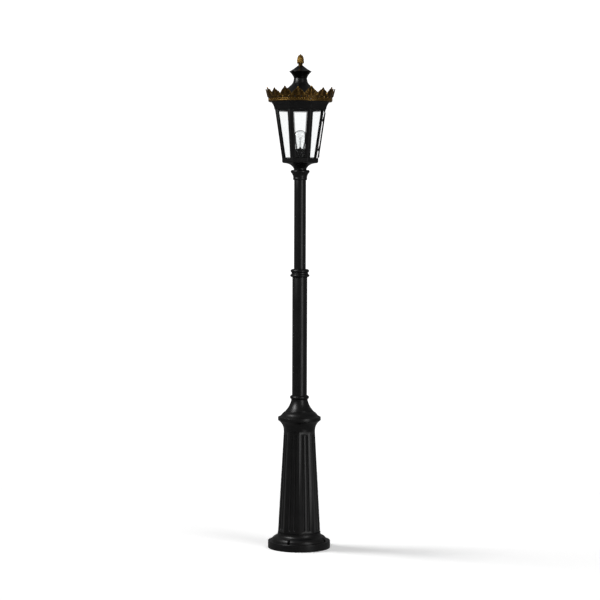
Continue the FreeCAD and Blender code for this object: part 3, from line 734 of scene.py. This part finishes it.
@dataclass
class FlutedBase(Assembly):
    """Tapered octagonal shell with two round-ended flutes in each face."""

    low_corner: float = 89.2 * MM
    high_corner: float = 65.7 * MM
    wall: float = 6 * MM
    flute_radius: float = 5 * MM
    flute_depth: float = 3.6 * MM
    flute_spread: float = 0.165
    end_gap: float = 12 * MM

    def frustum(self, name: str, inset: float, over: float) -> bpy.types.Object:
        """An octagonal frustum with a corner at the front.

        Args:
            name: its name.
            inset: how far its sides stand inside the outer faces.
            over: how far it runs past both ends.

        Returns:
            The frustum.
        """
        low, high, _ = levels("fluted_shell")
        slope = (self.high_corner - self.low_corner) / (high - low)
        shrink = inset / math.cos(HALF_FACE)
        start = self.low_corner - shrink - slope * over
        end = self.high_corner - shrink + slope * over
        deselect()
        bpy.ops.mesh.primitive_cylinder_add(vertices=SIDES, radius=start, depth=high - low + 2 * over,
                                            location=(0, 0, (low + high) / 2))
        piece = bpy.context.object
        piece.name = name
        pick_faces(piece, lambda polygon: polygon.normal.z > 0.9)
        bpy.ops.transform.resize(value=(end / start, end / start, 1), center_override=(0, 0, high))
        bpy.ops.object.mode_set(mode="OBJECT")
        return piece

    def flute_cutters(self) -> bpy.types.Object:
        """Sixteen round-ended bars that lie along the faces.

        Returns:
            The bars as one tool.
        """
        low, high, _ = levels("fluted_shell")
        places = []
        for face in range(SIDES):
            normal = (2 * face + 1) * HALF_FACE - math.pi / 2
            out = Vector((math.cos(normal), math.sin(normal), 0))
            along = Vector((-out.y, out.x, 0))
            for side in (-1, 1):
                shift = out * math.cos(HALF_FACE) + along * side * math.sin(HALF_FACE) * 2 * self.flute_spread
                foot = shift * self.low_corner + Vector((0, 0, low))
                way = shift * self.high_corner + Vector((0, 0, high)) - foot
                length = way.length - 2 * (self.end_gap + self.flute_radius)
                way.normalize()
                sink = out * (self.flute_radius - self.flute_depth)
                start = foot + way * (self.end_gap + self.flute_radius) + sink
                places.append(Matrix.Translation(start) @ way.to_track_quat("Z", "Y").to_matrix().to_4x4())
        deselect()
        bpy.ops.mesh.primitive_uv_sphere_add(segments=24, ring_count=12, radius=self.flute_radius)
        bar = bpy.context.object
        for vertex in bar.data.vertices:
            if vertex.co.z > 0.01 * MM:
                vertex.co.z += length
        return copies(bar, places, "flute_tool")

    def build(self) -> None:
        """Cuts the flutes and the hollow, and eases the arrises."""
        shell = self.frustum("fluted_shell_finished", 0, 0)
        cut(shell, self.flute_cutters())
        rounded(shell, 0.7 * MM, 2, 24)
        cut(shell, self.frustum("hollow", self.wall, 20 * MM))
        self.fit(finished(shell, "fluted_shell_finished", 28), Slot.POWDER, "fluted_shell")


@dataclass
class Post(Assembly):
    """Shoulder, flared neck, tubes, collar and capital."""

    tube_wall: float = 3 * MM
    screw_count: int = 3
    screw_up: float = 6.75 * MM
    screw_radius: float = 2.45 * MM

    def shoulder(self) -> None:
        """Round shoulder with a cove below its rim and a sloping top."""
        low, high, reach = levels("base_shoulder")
        bore = levels("lower_tube")[2] + FIT
        rim_low, rim_high = low + 44 * MM, low + 59 * MM
        points = outline(
            (44 * MM, low), (66.3 * MM, low), (66.3 * MM, low + 3 * MM),
            (reach - 3.4 * MM, rim_low - 1.5 * MM, -0.24), (reach, rim_low + 1 * MM),
            (reach, rim_high - 1.5 * MM), (reach - 2 * MM, rim_high, 0.41),
            (75 * MM, rim_high + 9.5 * MM, -0.12), (62 * MM, high - 3 * MM, 0.12), (59.3 * MM, high - 1 * MM),
            (59.3 * MM, high), (bore, high), (bore, rim_high + 4 * MM), (44 * MM, rim_high - 4 * MM))
        self.cast("base_shoulder", points, segments=128, bevel=0.6 * MM)

    def neck(self) -> None:
        """Flared neck with a round bead at its top."""
        low, high, reach = levels("base_neck")
        bore = levels("lower_tube")[2] + FIT
        bead = high - 15 * MM
        points = outline(
            (bore, low), (reach, low), (reach, low + 2 * MM), (34.8 * MM, bead - 5 * MM, -0.135),
            (34.8 * MM, bead), (34.8 * MM, high, 0.74), (bore, high))
        self.cast("base_neck", points)

    def collar(self) -> None:
        """Collar of two beads with a groove between them."""
        low, high, _ = levels("mid_collar")
        wide, narrow = levels("lower_tube")[2] + FIT, levels("upper_tube")[2] + FIT
        joint = levels("lower_tube")[1] + FIT
        points = outline(
            (wide, low), (33.5 * MM, low), (36 * MM, low + 1.2 * MM), (36 * MM, low + 12.5 * MM, 0.80),
            (35 * MM, low + 13.5 * MM), (35 * MM, high - 15.5 * MM), (34.2 * MM, high - 14.5 * MM),
            (34.2 * MM, high - 1.2 * MM, 0.74), (31 * MM, high), (narrow, high), (narrow, joint),
            (wide, joint))
        collar = turned("mid_collar_finished", points, bevel=0.3 * MM)
        drill = rod(self.screw_radius + 0.15 * MM, 20 * MM, (38 * MM, 0, low + self.screw_up), lying=True)
        cut(collar, copies(drill, turns(self.screw_count, -90), "collar_drill"))
        self.fit(finished(collar, "mid_collar_finished"), Slot.POWDER, "mid_collar")

    def capital(self) -> None:
        """Capital with an astragal, a cove and a round top bead."""
        low, high, _ = levels("post_capital")
        bore = levels("upper_tube")[2] + FIT
        points = outline(
            (bore, low), (27.6 * MM, low), (28.6 * MM, low + 9.5 * MM, 0.30), (29.3 * MM, low + 10.5 * MM),
            (36.6 * MM, high - 12.5 * MM, -0.17), (36.8 * MM, high - 0.6 * MM, 0.52), (33 * MM, high),
            (bore, high))
        self.cast("post_capital", points, bevel=0.3 * MM)

    def tubes(self) -> None:
        """The two drawn tubes."""
        for node in ("lower_tube", "upper_tube"):
            low, high, reach = levels(node)
            bore = reach - self.tube_wall
            side = [(reach, low + (high - low) * step / 6) for step in range(7)]
            points = side + [(bore, high), (bore, low)]
            self.cast(node, points, bevel=0.4 * MM)

    def screws(self) -> None:
        """Socket-head grub screws in the collar."""
        height = levels("mid_collar")[0] + self.screw_up
        screw = rod(self.screw_radius, 8 * MM, (35.8 * MM, 0, height), 32, lying=True)
        cut(screw, rod(1.3 * MM, 4 * MM, (40 * MM, 0, height), 6, lying=True))
        rounded(screw, 0.25 * MM)
        screws = copies(screw, turns(self.screw_count, -90), "collar_screws_finished")
        self.fit(finished(screws, "collar_screws_finished"), Slot.SCREW, "collar_screws")

    def build(self) -> None:
        """Builds the post from the ground up."""
        self.shoulder()
        self.neck()
        self.tubes()
        self.collar()
        self.screws()
        self.capital()


# ------------------------------------------------------------------ lantern


@dataclass
class LanternBody(Assembly):
    """Dish, frame rings, corner bars, glazing beads and cornice."""

    edge: float = 0.6 * MM
    bead_radius: float = 1.0 * MM
    bar_width: float = 14.5 * MM
    door_bar_width: float = 19 * MM
    bar_thickness: float = 5 * MM

    def dish(self) -> None:
        """Round dish that flares from its neck to a thin rim."""
        low, high, reach = levels("lantern_dish")
        bore = levels("lantern_spigot")[2] + FIT
        neck = 26.8 * MM
        points = outline(
            (bore, low), (neck + 0.6 * MM, low), (neck, low + 2 * MM, -0.3), (neck, low + 6 * MM),
            (reach * 0.627, high - 7 * MM, -0.16), (reach - 2 * MM, high - 1.2 * MM, -0.10),
            (reach, high - 0.8 * MM), (reach, high), (bore, high))
        self.cast("lantern_dish", points, segments=128, bevel=0.2 * MM)

    def castings(self) -> None:
        """Octagonal rings and corner bars with eased edges."""
        for node in ("lower_frame_ring", "upper_frame_ring"):
            self.fit(eased_copy(node, node + "_finished", 1.0 * MM, 3), Slot.POWDER, node)
        for index in range(SIDES):
            node = "lantern_post_%d" % (index + 1)
            self.fit(eased_copy(node, node + "_finished", self.edge), Slot.POWDER, node)

    def cornice(self) -> None:
        """Octagonal cornice with a smooth cove and a fillet above and below it."""
        low, high, top = levels("canopy_cornice")
        foot = levels("upper_frame_ring")[2]
        shape = outline(
            (foot + 0.4 * MM, low), (foot + 1.6 * MM, low + 1.2 * MM, 0.41), (foot + 2.2 * MM, low + 4 * MM),
            (top - 1 * MM, high - 4.2 * MM, -0.12), (top, high - 3.4 * MM),
            (top, high), (top - 14 * MM, high), (foot - 10 * MM, low))
        shape = [(radius / math.cos(HALF_FACE), height) for radius, height in shape]
        ring = turned("canopy_cornice_finished", shape, segments=SIDES, bevel=0)
        ring.data.transform(Matrix.Rotation(HALF_FACE, 4, "Z"))
        rounded(ring, 0.5 * MM, 2, 25)
        self.fit(finished(ring, "canopy_cornice_finished"), Slot.POWDER, "canopy_cornice")

    def glazing_bead(self, face: int) -> bpy.types.Object:
        """Round bead that frames one window on the outer face of its glass.

        Args:
            face: the window's place, counted from the front.

        Returns:
            The bead.
        """
        low = levels("lower_frame_ring")[1]
        high = levels("upper_frame_ring")[0]
        foot, head = levels("lower_frame_ring")[2], levels("upper_frame_ring")[2] - 1.6 * MM
        inset = self.bar_thickness - 0.4 * MM
        spots = []
        for side, height, apothem in ((-1, low, foot), (1, low, foot), (1, high, head), (-1, high, head)):
            beside = face + side * 0.5 in (DOOR_FACE - 0.5, DOOR_FACE + 0.5)
            bar = self.door_bar_width if beside else self.bar_width
            across = side * (apothem * math.tan(HALF_FACE) - bar - 0.8 * MM)
            lift = self.bead_radius * (1 if height == low else -1)
            spots.append(Vector((apothem - inset - self.bead_radius, across, height + lift)))
        bead = bead_frame(spots, self.bead_radius)
        bead.data.transform(Matrix.Rotation(2 * face * HALF_FACE - math.pi / 2, 4, "Z"))
        return finished(bead, "glazing_bead_%d" % (face + 1))

    def build(self) -> None:
        """Builds the lantern's fixed frame."""
        self.dish()
        self.castings()
        self.cornice()
        for face in range(SIDES):
            if face != DOOR_FACE:
                self.fit(self.glazing_bead(face), Slot.RUBBER)


@dataclass
class Door(Assembly):
    """Glazed leaf with its knuckles and its knurled screw."""

    body: str = "door"
    knurls: int = 24
    knurl_depth: float = 0.07
    moulding_radius: float = 1.3 * MM
    moulding_inset: float = 9 * MM
    head_radius: float = 5 * MM
    head_height: float = 3 * MM
    head_lift: float = 0.4 * MM
    shank_radius: float = 1.95 * MM
    shank_length: float = 2.8 * MM

    def build(self) -> None:
        """Builds the moving leaf."""
        self.fit(eased_copy("door_frame", "door_frame_finished", 0.5 * MM), Slot.POWDER, "door_frame")
        for node in ("door_knuckle_lower", "door_knuckle_upper"):
            self.fit(eased_copy(node, node + "_finished", 0.2 * MM), Slot.SCREW, node)
        self.moulding()
        self.screw()

    def moulding(self) -> None:
        """Raised moulding round the leaf's window, on its outer face."""
        leaf = frame["nodes"]["door_frame"]
        points = [leaf.matrix_world @ vertex.co for vertex in leaf.data.vertices]
        spots = []
        for side, rise in ((-1, -1), (1, -1), (1, 1), (-1, 1)):
            near, far = (max(points, key=lambda point: 3 * way * point.z + 3 * point.x + side * point.y)
                         for way in (rise, -rise))
            step = (far - near) * (self.moulding_inset / abs(far.z - near.z))
            spots.append(near + step - Vector((0.3 * MM, side * self.moulding_inset, 0)))
        self.fit(finished(bead_frame(spots, self.moulding_radius), "door_moulding"), Slot.POWDER)

    def screw(self) -> None:
        """Thumb screw with a knurled, slotted head."""
        joint = next(item for item in frame["joints"] if item["name"] == "door_screw_turn")
        spot, axis = Vector(joint["pos_m"]), Vector(joint["axis"]).normalized()
        middle = self.head_lift + self.head_height / 2
        head = rod(self.head_radius, self.head_height, (0, 0, middle), 2 * self.knurls)
        bpy.ops.object.transform_apply(location=True)
        for vertex in head.data.vertices:
            if math.cos(math.atan2(vertex.co.y, vertex.co.x) * self.knurls) < 0:
                vertex.co.xy *= 1 - self.knurl_depth
        rounded(head, 0.4 * MM, 2, 60)
        deselect()
        bpy.ops.mesh.primitive_cube_add(size=1, location=(0, 0, self.head_lift + self.head_height),
                                        scale=(12 * MM, 1.1 * MM, 1.6 * MM))
        cut(head, bpy.context.object)
        shank = rod(self.shank_radius, self.shank_length, (0, 0, self.head_lift - self.shank_length / 2))
        head = joined([head, shank], "door_screw_finished")
        head.matrix_world = Matrix.Translation(spot) @ axis.to_track_quat("Z", "Y").to_matrix().to_4x4()
        self.fit(finished(head, "door_screw_finished"), Slot.SCREW, "door_screw", body="door_screw")


# ------------------------------------------------------------------ roof, crown and finial


@dataclass
class Roof(Assembly):
    """Conical roof, chimney and flared cap."""

    wall: float = 3 * MM
    throat: float = 31.2 * MM
    chimney_bore: float = 22.2 * MM
    stud_bore: float = 3.2 * MM
    cap_rim: float = 28 * MM

    def cone(self) -> None:
        """Thin conical roof that sweeps up into its throat."""
        low, high, reach = levels("roof_cone")
        outer = outline(
            (reach - 9 * MM, low), (reach, low), (reach, low + 4 * MM),
            (reach * 0.6, low + (high - low) * 0.475, -0.04),
            (self.throat + 9 * MM, high - 12 * MM, -0.02), (self.throat, high, -0.14))
        inner = [(radius - self.wall, height - self.wall * 0.6) for radius, height in reversed(outer[3:-1])]
        points = outer + [(self.throat - self.wall, high)] + inner
        self.cast("roof_cone", points, segments=128, bevel=0.3 * MM)

    def chimney(self) -> None:
        """Short chimney with a bead at its foot."""
        low, high, _ = levels("roof_chimney")
        points = outline(
            (self.chimney_bore, low), (30.9 * MM, low), (30.4 * MM, low + 2.5 * MM),
            (29.4 * MM, low + 3.5 * MM),
            (27.3 * MM, high, 0.03), (self.chimney_bore, high))
        self.cast("roof_chimney", points, bevel=0.3 * MM)

    def cap(self) -> None:
        """Cap that flares to a sharp rim and closes in a low cone."""
        low, high, reach = levels("pagoda_cap")
        rim = low + self.cap_rim
        points = outline(
            (self.stud_bore, low), (27.2 * MM, low), (reach - 1 * MM, rim - 1.2 * MM, -0.15),
            (reach - 0.1 * MM, rim, 0.3), (reach - 1.2 * MM, rim + 1.4 * MM, 0.3),
            (22 * MM, high - 7.5 * MM, -0.05), (12.4 * MM, high, -0.03),
            (self.stud_bore, high))
        self.cast("pagoda_cap", points, bevel=0.3 * MM)

    def build(self) -> None:
        """Builds the roof from the cornice up."""
        self.cone()
        self.chimney()
        self.cap()


@dataclass
class Crown(Assembly):
    """Flared crown of sixteen pointed leaves on a beaded band."""

    leaves: int = 16
    clock: float = 18.7
    foot_radius: float = 131.4 * MM
    band_height: float = 27 * MM
    thickness: float = 2.4 * MM
    short_drop: float = 5 * MM
    bead: float = 2.3 * MM
    piercing: float = 16.5 * MM
    bead_up: float = 8 * MM
    leaf_foot: float = 20 * MM
    grid: int = 14

    def radius(self, up: float) -> float:
        """The band's outer radius.

        Args:
            up: height above the crown's foot.

        Returns:
            The radius.
        """
        low, high, _ = levels("leaf_crown")
        share = up / (high - low)
        return self.foot_radius + (reach_of_crown() - self.foot_radius) * (0.55 * share + 0.45 * share ** 1.5)

    def band(self) -> None:
        """Flared band with a base roll, pierced between the leaves."""
        low, _, _ = levels("leaf_crown")
        wall = self.thickness
        heights = [self.band_height * step / 8 for step in range(9)]
        outer = [(self.radius(up), low + up) for up in heights]
        inner = [(radius - wall, height) for radius, height in reversed(outer)]
        band = turned("crown_band", outer + inner, segments=256, bevel=0)
        deselect()
        bpy.ops.mesh.primitive_uv_sphere_add(
            segments=16, ring_count=8, radius=3.4 * MM, scale=(3, 0.95, 1.25),
            location=(self.radius(self.piercing), 0, low + self.piercing))
        start = self.clock - 90 + 90 / self.leaves
        cut(band, copies(bpy.context.object, turns(2 * self.leaves, start), "piercing_tool"))
        self.fit(finished(band, "crown_band"), Slot.BRONZE, "leaf_crown")

    def roll(self) -> None:
        """Plain roll at the crown's foot and a fine one above it."""
        low, _, _ = levels("leaf_crown")
        rolls = (("crown_foot_roll", 3.2 * MM, 2.4 * MM), ("crown_upper_roll", 11.6 * MM, 1.0 * MM))
        for name, up, size in rolls:
            deselect()
            bpy.ops.mesh.primitive_torus_add(
                major_segments=192, minor_segments=12, major_radius=self.radius(up), minor_radius=size,
                location=(0, 0, low + up))
            self.fit(finished(bpy.context.object, name, 60), Slot.BRONZE)

    def beads(self) -> None:
        """Row of small beads under the piercings."""
        low, _, _ = levels("leaf_crown")
        deselect()
        bpy.ops.mesh.primitive_ico_sphere_add(subdivisions=2, radius=self.bead,
                                              location=(self.radius(self.bead_up), 0, low + self.bead_up))
        beads = copies(bpy.context.object, turns(6 * self.leaves, self.clock), "crown_beads")
        self.fit(finished(beads, "crown_beads", 60), Slot.BRONZE)

    def leaf(self, tip: float) -> bpy.types.Object:
        """One leaf, bent to the crown's flare, its midrib on local +X.

        Args:
            tip: height of its point above the crown's foot.

        Returns:
            The leaf.
        """
        low, _, _ = levels("leaf_crown")
        foot, waist = self.leaf_foot, self.band_height - 3 * MM
        half = self.radius(waist) * math.pi / self.leaves
        deselect()
        bpy.ops.mesh.primitive_grid_add(x_subdivisions=self.grid, y_subdivisions=2 * self.grid, size=2)
        piece = bpy.context.object
        for vertex in piece.data.vertices:
            across, rise = vertex.co.x, (vertex.co.y + 1) / 2
            up = foot + (tip - foot) * rise
            if up < waist:
                width = half * (0.62 + 0.40 * math.sin(math.pi / 2 * (up - foot) / (waist - foot)))
            else:
                share = (up - waist) / (tip - waist)
                width = half * 1.02 * max(1 - share, 0) ** 0.86 * (1 + 0.22 * math.sin(math.pi * share))
            midrib = 1.5 * MM * math.exp(-(across / 0.16) ** 2)
            swell = 1.3 * MM * (1 - across ** 2) * (1 - 0.6 * rise)
            groove = 0.9 * MM * math.exp(-((abs(across) - 0.45) / 0.2) ** 2)
            ribs = 0.35 * MM * math.cos(22 * (rise - 0.35 * abs(across))) * (abs(across) > 0.15)
            swing = across * width / self.radius(up)
            reach = self.radius(up) + 0.5 * MM + midrib + swell - groove + ribs
            vertex.co = (reach * math.cos(swing), reach * math.sin(swing), low + up)
        inwards = -1 if piece.data.polygons[0].normal.x > 0 else 1
        apply_modifier(piece, "SOLIDIFY", thickness=self.thickness, offset=inwards)
        return finished(piece, "leaf", 50)

    def build(self) -> None:
        """Builds the band, its mouldings and the sixteen leaves."""
        low, high, _ = levels("leaf_crown")
        self.band()
        self.roll()
        self.beads()
        tip = high - low - 0.3 * MM
        pitch = 360 / self.leaves
        tall = copies(self.leaf(tip), turns(self.leaves // 2, self.clock - 90), "tall_leaves")
        short = copies(self.leaf(tip - self.short_drop), turns(self.leaves // 2, self.clock - 90 + pitch),
                       "short_leaves")
        self.fit(joined([tall, short], "crown_leaves"), Slot.BRONZE, "leaf_crown")


@cache
def reach_of_crown() -> float:
    """Radius that the crown flares to, which is a little more than the plain casting's."""
    low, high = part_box("leaf_crown")
    return max(high[0], high[1], -low[0], -low[1]) + 1.5 * MM


@dataclass
class PineCone(Assembly):
    """Finial in the form of a closed pine cone on a moulded cup."""

    rows: int = 7
    per_row: int = 7

    def build(self) -> None:
        """Turns the core and lays the scales in rising, staggered rows."""
        low, high, _ = levels("pine_cone_finial")
        start = low + 15 * MM
        core = turned("pine_cone_core", outline(
            (3.3 * MM, low), (9.4 * MM, low), (9.8 * MM, low + 1.6 * MM, 0.6), (8.8 * MM, low + 3 * MM),
            (9.6 * MM, low + 9 * MM, -0.1), (12.4 * MM, start - 2 * MM, -0.2), (12 * MM, start, 0.5),
            (12 * MM, start + 12 * MM, 0.05), (7.5 * MM, high - 10 * MM, 0.1), (0, high - 3 * MM, 0.2)),
            closed=False, segments=64, bevel=0)
        places = []
        rise = high - start - 4 * MM
        for row in range(self.rows):
            share = row / (self.rows - 1)
            reach = 12.4 * MM * (1 - share ** 2.6) ** 0.5 + 0.6 * MM
            size = Matrix.Scale((4.7 - 2.3 * share) * MM, 4)
            lean = Matrix.Rotation(-1.1 * share ** 2, 4, "Y")
            spot = Matrix.Translation((reach, 0, start + rise * share))
            for turn in turns(self.per_row, 180 / self.per_row * (row % 2)):
                places.append(turn @ spot @ lean @ size)
        scales = copies(self.cone_scale(), places, "pine_cone_scales")
        self.fit(core, Slot.BRONZE, "pine_cone_finial")
        self.fit(finished(scales, "pine_cone_scales", 40), Slot.BRONZE, "pine_cone_finial")

    def cone_scale(self) -> bpy.types.Object:
        """One pointed scale that bulges outwards, half a unit wide to each side.

        Returns:
            The scale.
        """
        deselect()
        bpy.ops.mesh.primitive_ico_sphere_add(subdivisions=2, radius=1)
        piece = bpy.context.object
        for vertex in piece.data.vertices:
            x, y, z = vertex.co
            taper = 1 - 0.55 * max(z, 0)
            vertex.co = (x * 0.42 + 0.25 * max(z, 0), y * taper * 1.15, z * 1.25)
        return piece


# ------------------------------------------------------------------ lamp


@dataclass
class Lamp(Assembly):
    """Gear box, lampholder and clear bulb."""

    ball: float = 30 * MM
    glass_wall: float = 0.9 * MM
    filament_half: float = 12 * MM
    coils: int = 40

    def envelope(self) -> None:
        """Blown pear-shaped glass with a thin wall."""
        low, high, _ = levels("bulb_envelope")
        centre = high - self.ball
        outer = outline(
            (16 * MM, low), (16.6 * MM, low + 6 * MM), (27.5 * MM, centre - 12 * MM, -0.12),
            (29.9 * MM, centre + 2 * MM, 0.12), (21.2 * MM, centre + 21.2 * MM, 0.19),
            (0.05 * MM, high, 0.2))
        wall = self.glass_wall
        inner = [(max(radius - wall, 0.05 * MM), height - (wall if radius < 12 * MM else wall * 0.3))
                 for radius, height in reversed(outer[1:])]
        points = outer + inner + [(16 * MM - wall, low)]
        self.cast("bulb_envelope", points, Slot.LAMP, segments=64, bevel=0)

    def stem(self) -> None:
        """Glass mount with its flare and button, and the wires it holds."""
        low, high, _ = levels("bulb_stem")
        points = outline(
            (0.2 * MM, low), (8 * MM, low), (3.2 * MM, low + 12 * MM, -0.2), (2.6 * MM, high - 6 * MM),
            (3.4 * MM, high - 3 * MM, 0.3), (0.2 * MM, high, 0.4))
        self.cast("bulb_stem", points, Slot.LAMP, closed=False, segments=32, bevel=0)
        half, top = self.filament_half, high + 12 * MM
        wires = [
            self.wire([(side * 2 * MM, high - 4 * MM), (side * 8 * MM, high + 4 * MM), (side * half, top)],
                      0.35 * MM) for side in (-1, 1)]
        filament = [(2 * half * step / self.coils - half, top + (0.5 if step % 2 else -0.5) * MM)
                    for step in range(self.coils + 1)]
        wires.append(self.wire(filament, 0.2 * MM))
        self.fit(finished(joined(wires, "bulb_filament"), "bulb_filament"), Slot.BRASS)

    def wire(self, spots: list[Point], radius: float) -> bpy.types.Object:
        """A thin wire through spots in the lamp's front plane.

        Args:
            spots: its points, (x, z).
            radius: its radius.

        Returns:
            The wire.
        """
        line = bpy.data.curves.new("wire", "CURVE")
        line.dimensions = "3D"
        line.bevel_depth = radius
        line.bevel_resolution = 2
        line.use_fill_caps = True
        spline = line.splines.new("POLY")
        spline.points.add(len(spots) - 1)
        for point, (x, z) in zip(spline.points, spots):
            point.co = (x, 0, z, 1)
        piece = bpy.data.objects.new("wire", line)
        bpy.context.scene.collection.objects.link(piece)
        choose(piece)
        bpy.ops.object.convert(target="MESH")
        return bpy.context.object

    def cap(self) -> None:
        """Rolled-thread lamp cap."""
        low, high, reach = levels("bulb_cap")
        points: list[Point] = [(0.2 * MM, low), (5 * MM, low), (reach - 2 * MM, low + 5 * MM)]
        pitch = 3.6 * MM
        height = low + 7 * MM
        while height + pitch < high - 2 * MM:
            points += [(reach - 1.3 * MM, height), (reach - 0.3 * MM, height + pitch * 0.3),
                       (reach, height + pitch * 0.5), (reach - 0.3 * MM, height + pitch * 0.7)]
            height += pitch
        points += [(reach - 0.8 * MM, high), (0.2 * MM, high)]
        self.cast("bulb_cap", points, Slot.BRASS, closed=False, segments=48, bevel=0)

    def box(self) -> None:
        """Black can with a stepped lid and the holder's collar."""
        low, high, reach = levels("gear_box")
        groove = reach - 0.6 * MM
        points = outline(
            (reach - 2 * MM, low), (reach, low), (reach, high - 6 * MM), (groove, high - 5.4 * MM),
            (groove, high - 4.4 * MM), (reach, high - 3.8 * MM), (reach, high), (reach - 2 * MM, high))
        self.cast("gear_box", points, Slot.PLASTIC, segments=64, bevel=0.2 * MM)
        self.fit(eased_copy("lampholder", "lampholder_finished", 0.4 * MM), Slot.PLASTIC, "lampholder")

    def build(self) -> None:
        """Builds the lamp from the dish up."""
        self.box()
        self.cap()
        self.envelope()
        self.stem()


# ------------------------------------------------------------------ carried-over nodes and studio


def dress_frame(finishes: dict[Slot, bpy.types.Material]) -> None:
    """Gives every CAD node the finish of its slot.

    Args:
        finishes: slot to material.
    """
    slots = {entry["node"]: Slot(entry["material_slot"]) for entry in frame["record"]["subparts"]}
    for node, piece in frame["nodes"].items():
        piece.data.materials.clear()
        piece.data.materials.append(finishes[slots[node]])


@dataclass(frozen=True)
class Studio:
    """Pale floor, soft lights and the camera. The suns show in no reflection."""

    distance: float = 7.56
    eye_height: float = 1.4288
    pitch: float = 2.894
    roll: float = 0.175
    aside: float = 1 * MM
    focal: float = 108.0
    floor_radius: float = 2.2
    floor_glow: float = 0.38
    sky_light: float = 0.12

    def camera(self) -> None:
        """Places the camera in front of the lantern, a little above its middle."""
        data = bpy.data.cameras.new("camera")
        data.lens = self.focal
        data.sensor_width = 36.0
        data.clip_end = 200
        eye = bpy.data.objects.new("camera", data)
        bpy.context.scene.collection.objects.link(eye)
        tilt = Matrix.Rotation(math.radians(90 - self.pitch), 4, "X")
        roll = Matrix.Rotation(math.radians(self.roll), 4, "Z")
        eye.matrix_world = Matrix.Translation((self.aside, -self.distance, self.eye_height)) @ tilt @ roll
        bpy.context.scene.camera = eye

    def softbox(self, name: str, place: tuple, aim: tuple, size: tuple, power: float) -> None:
        """A rectangular soft light that shows only in reflections.

        Args:
            name: its name.
            place: where it stands.
            aim: the point it looks at.
            size: its width and height.
            power: its strength in watts.
        """
        data = bpy.data.lights.new(name, "AREA")
        data.shape = "RECTANGLE"
        data.size, data.size_y = size
        data.energy = power
        lamp = bpy.data.objects.new(name, data)
        bpy.context.scene.collection.objects.link(lamp)
        lamp.location = place
        lamp.rotation_euler = (Vector(aim) - Vector(place)).to_track_quat("-Z", "Y").to_euler()
        lamp.visible_diffuse = False

    def floor(self) -> None:
        """Round pale floor, softly lit from below as a light table is."""
        deselect()
        bpy.ops.mesh.primitive_circle_add(vertices=128, radius=self.floor_radius, fill_type="NGON")
        floor = bpy.context.object
        floor.name = "studio_floor"
        material, shader, place = blank_material("pale_studio_floor")
        tree = material.node_tree
        tone = spread(tree, noise(tree, place, 0.6), 0, 1)
        tree.links.new(mixed(tree, tone, linear("ececec"), linear("efefef")), shader.inputs["Base Color"])
        shader.inputs["Roughness"].default_value = 0.8
        shader.inputs["Specular IOR Level"].default_value = 0.1
        shader.inputs["Emission Color"].default_value = (1, 1, 1, 1)
        shader.inputs["Emission Strength"].default_value = self.floor_glow
        floor.data.materials.append(material)
        floor.visible_glossy = False

    def sky(self) -> None:
        """White surround, dim for all but the camera and what it sees straight through glass."""
        world = bpy.data.worlds.new("studio")
        bpy.context.scene.world = world
        world.use_nodes = True
        tree = world.node_tree
        tree.nodes.clear()
        path = add_node(tree, "ShaderNodeLightPath")
        bounces = add_node(tree, "ShaderNodeMath", {
            0: path.outputs["Diffuse Depth"], 1: path.outputs["Glossy Depth"]}, operation="ADD")
        straight = add_node(tree, "ShaderNodeMath", {0: bounces.outputs[0], 1: 0.5}, operation="LESS_THAN")
        through = add_node(tree, "ShaderNodeMath", {
            0: straight.outputs[0], 1: path.outputs["Is Transmission Ray"]}, operation="MULTIPLY")
        seen = add_node(tree, "ShaderNodeMath", {
            0: path.outputs["Is Camera Ray"], 1: through.outputs[0]}, operation="MAXIMUM")
        strength = spread(tree, seen.outputs[0], self.sky_light, 1.15, 0, 1)
        back = add_node(tree, "ShaderNodeBackground", {"Color": (1, 1, 1, 1), "Strength": strength})
        add_node(tree, "ShaderNodeOutputWorld", {"Surface": back.outputs[0]})

    def sun(self, name: str, bearing: float, height: float, power: float) -> None:
        """A broad even light from afar.

        Args:
            name: its name.
            bearing: degrees from the front towards +X.
            height: degrees above the floor.
            power: its strength.
        """
        data = bpy.data.lights.new(name, "SUN")
        data.energy = power
        data.angle = math.radians(22)
        lamp = bpy.data.objects.new(name, data)
        bpy.context.scene.collection.objects.link(lamp)
        turn, rise = math.radians(bearing), math.radians(height)
        place = Vector((math.sin(turn) * math.cos(rise), -math.cos(turn) * math.cos(rise), math.sin(rise)))
        lamp.rotation_euler = (-place).to_track_quat("-Z", "Y").to_euler()
        lamp.visible_glossy = False

    def build(self) -> None:
        """Sets up the studio."""
        bpy.context.scene.view_settings.view_transform = "Standard"
        self.camera()
        self.floor()
        self.sky()
        self.sun("far_left", -103, 40, 2.35)
        self.sun("far_right", 49, 48, 0.82)
        self.softbox("high_left", (-2.6, -1.1, 3.4), (0, 0, 1.1), (1.7, 1.7), 62)
        self.softbox("right_strip", (1.9, -2.35, 1.4), (0, 0, 1.1), (0.95, 3.0), 19)


def main() -> None:
    """Builds every sub-assembly in order."""
    logging.basicConfig(level=logging.INFO, format="%(name)s: %(message)s")
    finishes = all_finishes()
    Studio().build()
    dress_frame(finishes)
    for assembly in (Foot, FlutedBase, Post, LanternBody, Door, Roof, Crown, PineCone, Lamp):
        assembly(finishes).build()
        log.info("built %s", assembly.__name__)


if __name__ == "__main__":
    main()
